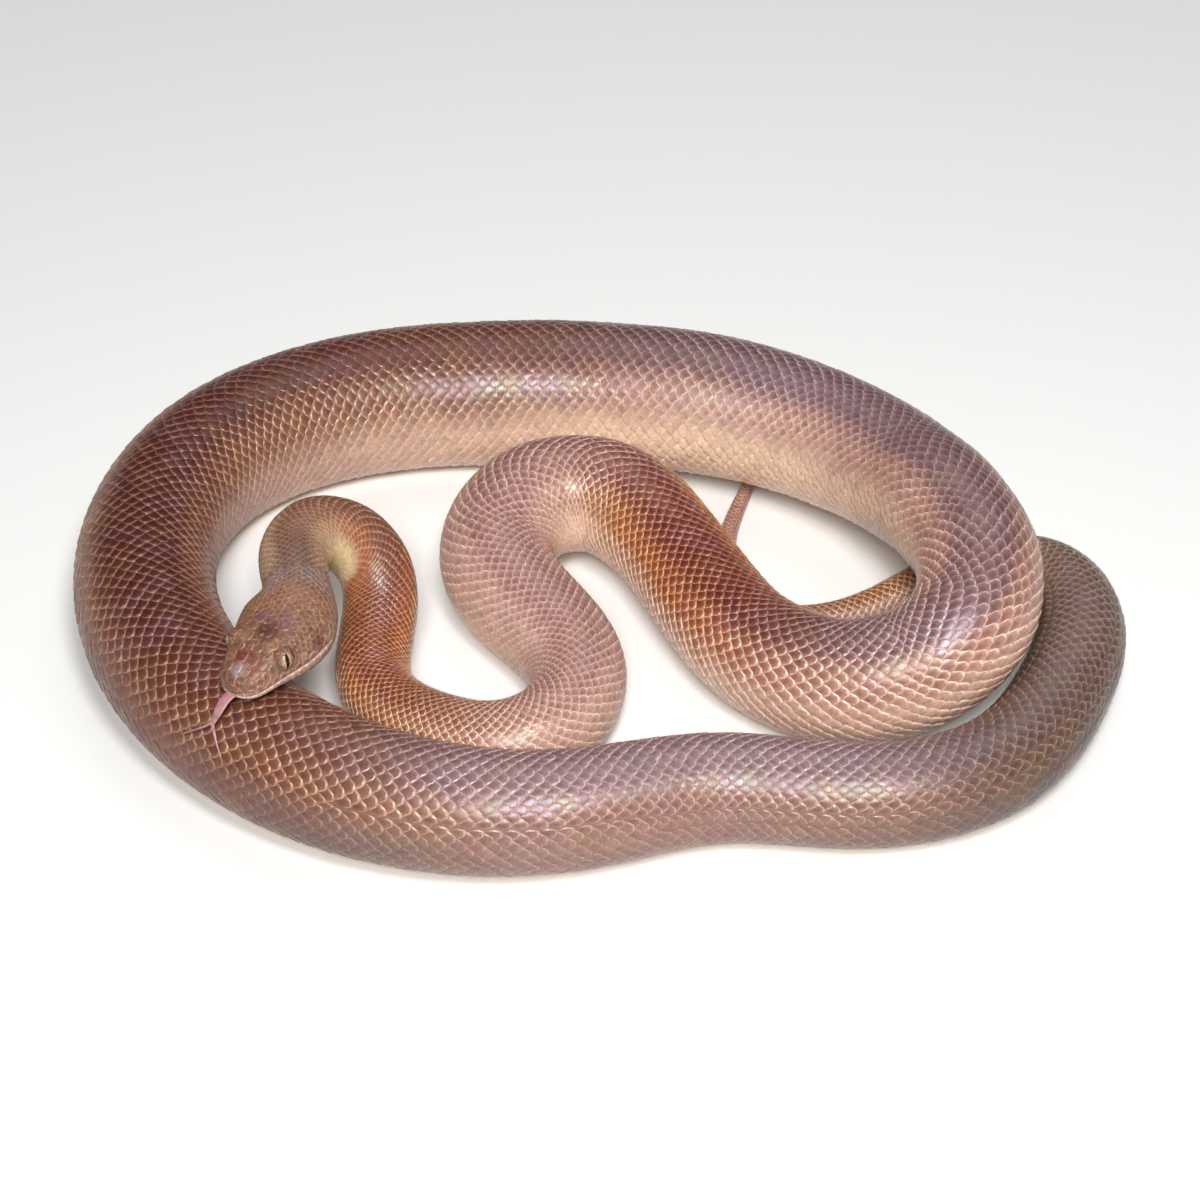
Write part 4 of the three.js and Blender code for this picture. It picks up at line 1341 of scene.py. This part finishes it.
def makeTongueMaterial():
    material, tree, shader = newMaterial("tonguePink")
    place = objectPlace(tree)
    share = mapSmooth(tree, noise(tree, place, 260.0, 3.0), *noiseSpan)
    stem = mixColour(tree, share, tongue["base"], tongue["blotch"])
    rise = addNode(tree, "ShaderNodeSeparateXYZ", inputs={0: place}).outputs[2]
    fade = mapSmooth(tree, rise, *[height * mm for height in tongue["tipFade"]])
    tree.links.new(mixColour(tree, fade, stem, tongue["tip"]), shader.inputs["Base Color"])
    shader.inputs["Roughness"].default_value = tongue["roughness"]
    shader.inputs["Subsurface Weight"].default_value = 0.2
    shader.inputs["Subsurface Scale"].default_value = 0.001
    return material


tongueMaterial = makeTongueMaterial()

scaleShape = {
    # lines of the scale's own square, from its two front sides to its two rear sides
    "lines": [-1.0, -0.45, 0.15, 0.62, 0.88, 1.0],
    "roundness": 2.1,
    "rearReach": 1.18,
    # how unlike each other the scales are in size, place, tilt and tone
    "sizeSpread": 0.05,
    "placeSpread": 0.03,
    "tiltSpread": 0.22,
    "toneSpread": 0.045,
    "leastRowShare": 0.4,
}


# One scale on its square (u, v): it lies along (u + v) / 2 and across (u - v) / 2, its corners
# rounded by a power norm. It rises from under its neighbours at the front to a free rear edge.
def scaleLayout():
    lines = np.array(scaleShape["lines"])
    u, v = np.meshgrid(lines, lines, indexing="ij")
    along, across = (u + v) / 2, (u - v) / 2
    span = np.maximum(np.abs(u), np.abs(v))
    power = scaleShape["roundness"]
    norm = (np.abs(along) ** power + np.abs(across) ** power) ** (1 / power)
    grow = np.where(norm > 0, span / np.where(norm > 0, norm, 1), 1)
    along, across = along * grow, across * grow
    rise = -0.3 + 1.0 * ((along + 1) / 2) ** 0.7 + 0.34 * (1 - np.clip(across, -1, 1) ** 2)
    edge = np.maximum(u, v) >= 1
    frontEdge = np.minimum(u, v) <= -1
    height = np.where(edge, -0.05, np.where(frontEdge, -0.35, rise))
    square = np.stack([(u + 1) / 2, (v + 1) / 2], -1)
    return along.ravel(), across.ravel(), height.ravel(), square.reshape(-1, 2)


coatZones = {
    "fore": (lattice["starts"], 640),
    "mid": (640, 1285),
    "hind": (1285, bodyLength - 1.5),
}


def layScales(zone, side):
    start, end = coatZones[zone]
    firstStep = math.ceil(np.interp(start, sampleAt, stepCount) - 1e-9)
    lastRing = math.ceil(np.interp(end, sampleAt, stepCount) - 1e-9)
    rows = np.arange(0, 21) if side == "left" else np.arange(-20, 0)
    ring, row = np.meshgrid(np.arange(firstStep, lastRing), rows, indexing="ij")
    ring, row = ring.ravel(), row.ravel()
    step = ring + 0.5 * (row % 2)
    rootAt = distanceOf(step)
    share = rowShare[np.abs(row), np.clip(rootAt.astype(int), 0, len(sampleAt) - 1)]
    keep = (share > scaleShape["leastRowShare"]) & (rootAt < bodyLength)
    ring, row, step = ring[keep], row[keep], step[keep]
    return ring, row, step, firstStep, lastRing, rows


def makeCoat(zone, side):
    along, across, height, square = scaleLayout()
    ring, row, step, firstStep, lastRing, rows = layScales(zone, side)
    count, size = len(ring), len(along)
    grow = 1 + scaleShape["sizeSpread"] * chance.standard_normal((count, 1))
    moved = scaleShape["placeSpread"] * chance.standard_normal((count, 1))
    reach = np.where(along > 0, scaleShape["rearReach"], 1.0) * along
    at = distanceOf(step[:, None] + moved + 0.5 * reach * grow)
    part = across * grow
    rowMesh = row[:, None] + np.zeros(size, int)
    here = rowAngle(rowMesh, at)
    beside = rowAngle(rowMesh + np.where(part > 0, 1, -1), at)
    angle = here + np.abs(part) * (beside - here)
    depth = coatDepth(at)
    # where the body bends, the inner side is pressed together and its scales lie flatter
    nearby, further = bodySurface(at - 0.5, angle), bodySurface(at + 0.5, angle)
    pressed = np.clip(np.linalg.norm(further - nearby, axis=-1), 0.12, 1)
    tilt = 1 + 0.12 * chance.standard_normal((count, 1))
    lean = scaleShape["tiltSpread"] * np.clip(chance.standard_normal((count, 1)), -1.5, 1.5) * across
    stands = np.where(height > 0.1, height * tilt + lean, height)
    points = bodySurface(at, angle, depth * (stands * pressed**0.6 - 1))
    columns = int(np.sqrt(len(rows) / 21) * 3)
    perStrip = math.ceil((lastRing - firstStep) / columns)
    cellX = (ring - firstStep) % perStrip
    cellY = (ring - firstStep) // perStrip * len(rows) + (row - rows[0])
    cell = np.stack([cellX / perStrip, cellY / (columns * len(rows))], -1)[:, None]
    bake = cell + (0.06 + 0.88 * square) / [perStrip, columns * len(rows)]
    quads = gridQuads(6, 6, count)
    tone = 1 + scaleShape["toneSpread"] * chance.standard_normal((count, 1)) + np.zeros(size)
    return makePiece(
        f"scales_{zone}_{side}",
        points.reshape(-1, 3),
        [quads],
        scaleMaterial,
        {
            "OnScale": np.tile(square, (count, 1))[quads.ravel()],
            "OFBake": bake.reshape(-1, 2)[quads.ravel()],
        },
        {
            "along": at.ravel() / bodyLength,
            "lie": np.abs(angle).ravel() / np.pi,
            "tone": tone.ravel(),
        },
    )


belly = {
    # lines along a scute, in steps from its root, and the coat depths they stand at
    "along": [-0.15, 0.1, 0.5, 0.92, 1.12, 1.18],
    "heights": [-0.35, 0.1, 0.5, 0.72, 0.68, -0.1],
    "columns": 13,
    "overlap": 2.5,
}


# One broad scute under each ring of scales, from the edge of the coat on one side to the other,
# its free rear edge over the front of the next.
def makeBelly():
    firstStep, lastRing = math.ceil(np.interp(60, sampleAt, stepCount)), int(lastStep) - 1
    root = np.arange(firstStep, lastRing, dtype=float)
    edge = lattice["edgeAngle"] - belly["overlap"]
    around = np.radians(np.linspace(edge, 360 - edge, belly["columns"]))
    along = np.array(belly["along"])
    at = distanceOf(root[:, None, None] + along[:, None] + np.zeros(belly["columns"]))
    angle = around + np.zeros(at.shape)
    side = np.linspace(-1, 1, belly["columns"])
    height = np.array(belly["heights"])[:, None] - 0.9 * side**8
    points = bodySurface(at, angle, coatDepth(at) * (height - 1))
    square = np.stack(np.broadcast_arrays((along[:, None] + 0.15) / 1.33, (side + 1) / 2 * 0.4), -1)
    square = square.reshape(-1, 2)
    count, columns = len(root), 4
    perColumn = math.ceil(count / columns)
    cell = np.stack([np.arange(count) // perColumn, np.arange(count) % perColumn], -1)[:, None]
    spread = np.stack([square[:, 1] / 0.4, square[:, 0]], -1)
    bake = (cell + 0.04 + 0.92 * spread) / [columns, perColumn]
    quads = gridQuads(len(along), belly["columns"], count)[:, ::-1]
    tone = 1 + 0.04 * chance.standard_normal((count, 1)) + np.zeros(len(square))
    return makePiece(
        "belly_scutes", points.reshape(-1, 3), [quads], scaleMaterial,
        {
            "OnScale": np.tile(square, (count, 1))[quads.ravel()],
            "OFBake": bake.reshape(-1, 2)[quads.ravel()],
        },
        {
            "along": at.ravel() / bodyLength,
            "lie": np.minimum(angle, 2 * np.pi - angle).ravel() / np.pi,
            "tone": tone.ravel(),
        },
    )


fleshNodes = [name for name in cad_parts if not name.startswith(("eye", "tongue"))]
snakeSkin = makeSkin()
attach(snakeSkin, "root")
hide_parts(*fleshNodes)
headPlates = makePlates()
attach(headPlates, "root")
for eyeSide, eyeNode in ((1, "eye_left"), (-1, "eye_right")):
    ball = makeEye(eyeSide)
    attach(ball, "root")
    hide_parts(eyeNode)
forkedTongue = makeTongue()
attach(forkedTongue, "root")
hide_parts("tongue")
for zoneName in coatZones:
    for sideName in ("left", "right"):
        coatPiece = makeCoat(zoneName, sideName)
        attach(coatPiece, "root")
bellyScutes = makeBelly()
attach(bellyScutes, "root")

studio = {
    "floorSize": 6.0,
    "floorShade": colour(232, 232, 230),
    "worldShade": colour(246, 247, 250),
    "worldStrength": 0.1,
    "cameraAt": (0.00123, -0.86444, 0.74026),
    "cameraLooksAt": (0.00123, 0.01776, 0.0),
    "lens": 82.26,
    "lights": [
        # place, size, watts: a near lamp over the camera, a far one behind it, a broad one at
        # the back
        ((0.1, -0.66, 0.98), 0.28, 9.0),
        ((-0.2, -3.2, 3.3), 1.1, 150.0),
        ((0.3, 1.1, 2.4), 2.0, 15.0),
    ],
}


def lookAt(thing, target):
    away = np.array(thing.location) - np.array(target)
    flat = math.hypot(away[0], away[1])
    thing.rotation_euler = (math.atan2(flat, away[2]), 0, math.atan2(away[0], -away[1]))


def makeStudio():
    half = studio["floorSize"] / 2
    mesh = bpy.data.meshes.new("floor")
    corners = [(-half, -half, 0), (half, -half, 0), (half, half, 0), (-half, half, 0)]
    mesh.from_pydata(corners, [], [(0, 1, 2, 3)])
    floor = bpy.data.objects.new("floor", mesh)
    floor.location.z = -0.0002
    bpy.context.scene.collection.objects.link(floor)
    material, tree, shader = newMaterial("paleFloor")
    shader.inputs["Base Color"].default_value = studio["floorShade"]
    shader.inputs["Roughness"].default_value = 0.7
    mesh.materials.append(material)
    world = bpy.data.worlds.new("studio")
    world.use_nodes = True
    world.node_tree.nodes["Background"].inputs[0].default_value = studio["worldShade"]
    world.node_tree.nodes["Background"].inputs[1].default_value = studio["worldStrength"]
    bpy.context.scene.world = world
    for number, (place, size, watts) in enumerate(studio["lights"]):
        lamp = bpy.data.lights.new(f"softLight{number}", "AREA")
        lamp.shape, lamp.size, lamp.energy = "DISK", size, watts
        holder = bpy.data.objects.new(lamp.name, lamp)
        holder.location = place
        lookAt(holder, (0, 0, 0.02))
        bpy.context.scene.collection.objects.link(holder)
    camera = bpy.data.cameras.new("camera")
    camera.lens, camera.sensor_width = studio["lens"], 36
    holder = bpy.data.objects.new("camera", camera)
    holder.location = studio["cameraAt"]
    lookAt(holder, studio["cameraLooksAt"])
    bpy.context.scene.collection.objects.link(holder)
    bpy.context.scene.camera = holder
    bpy.context.scene.view_settings.view_transform = "Standard"


makeStudio()
print("studio is ready")
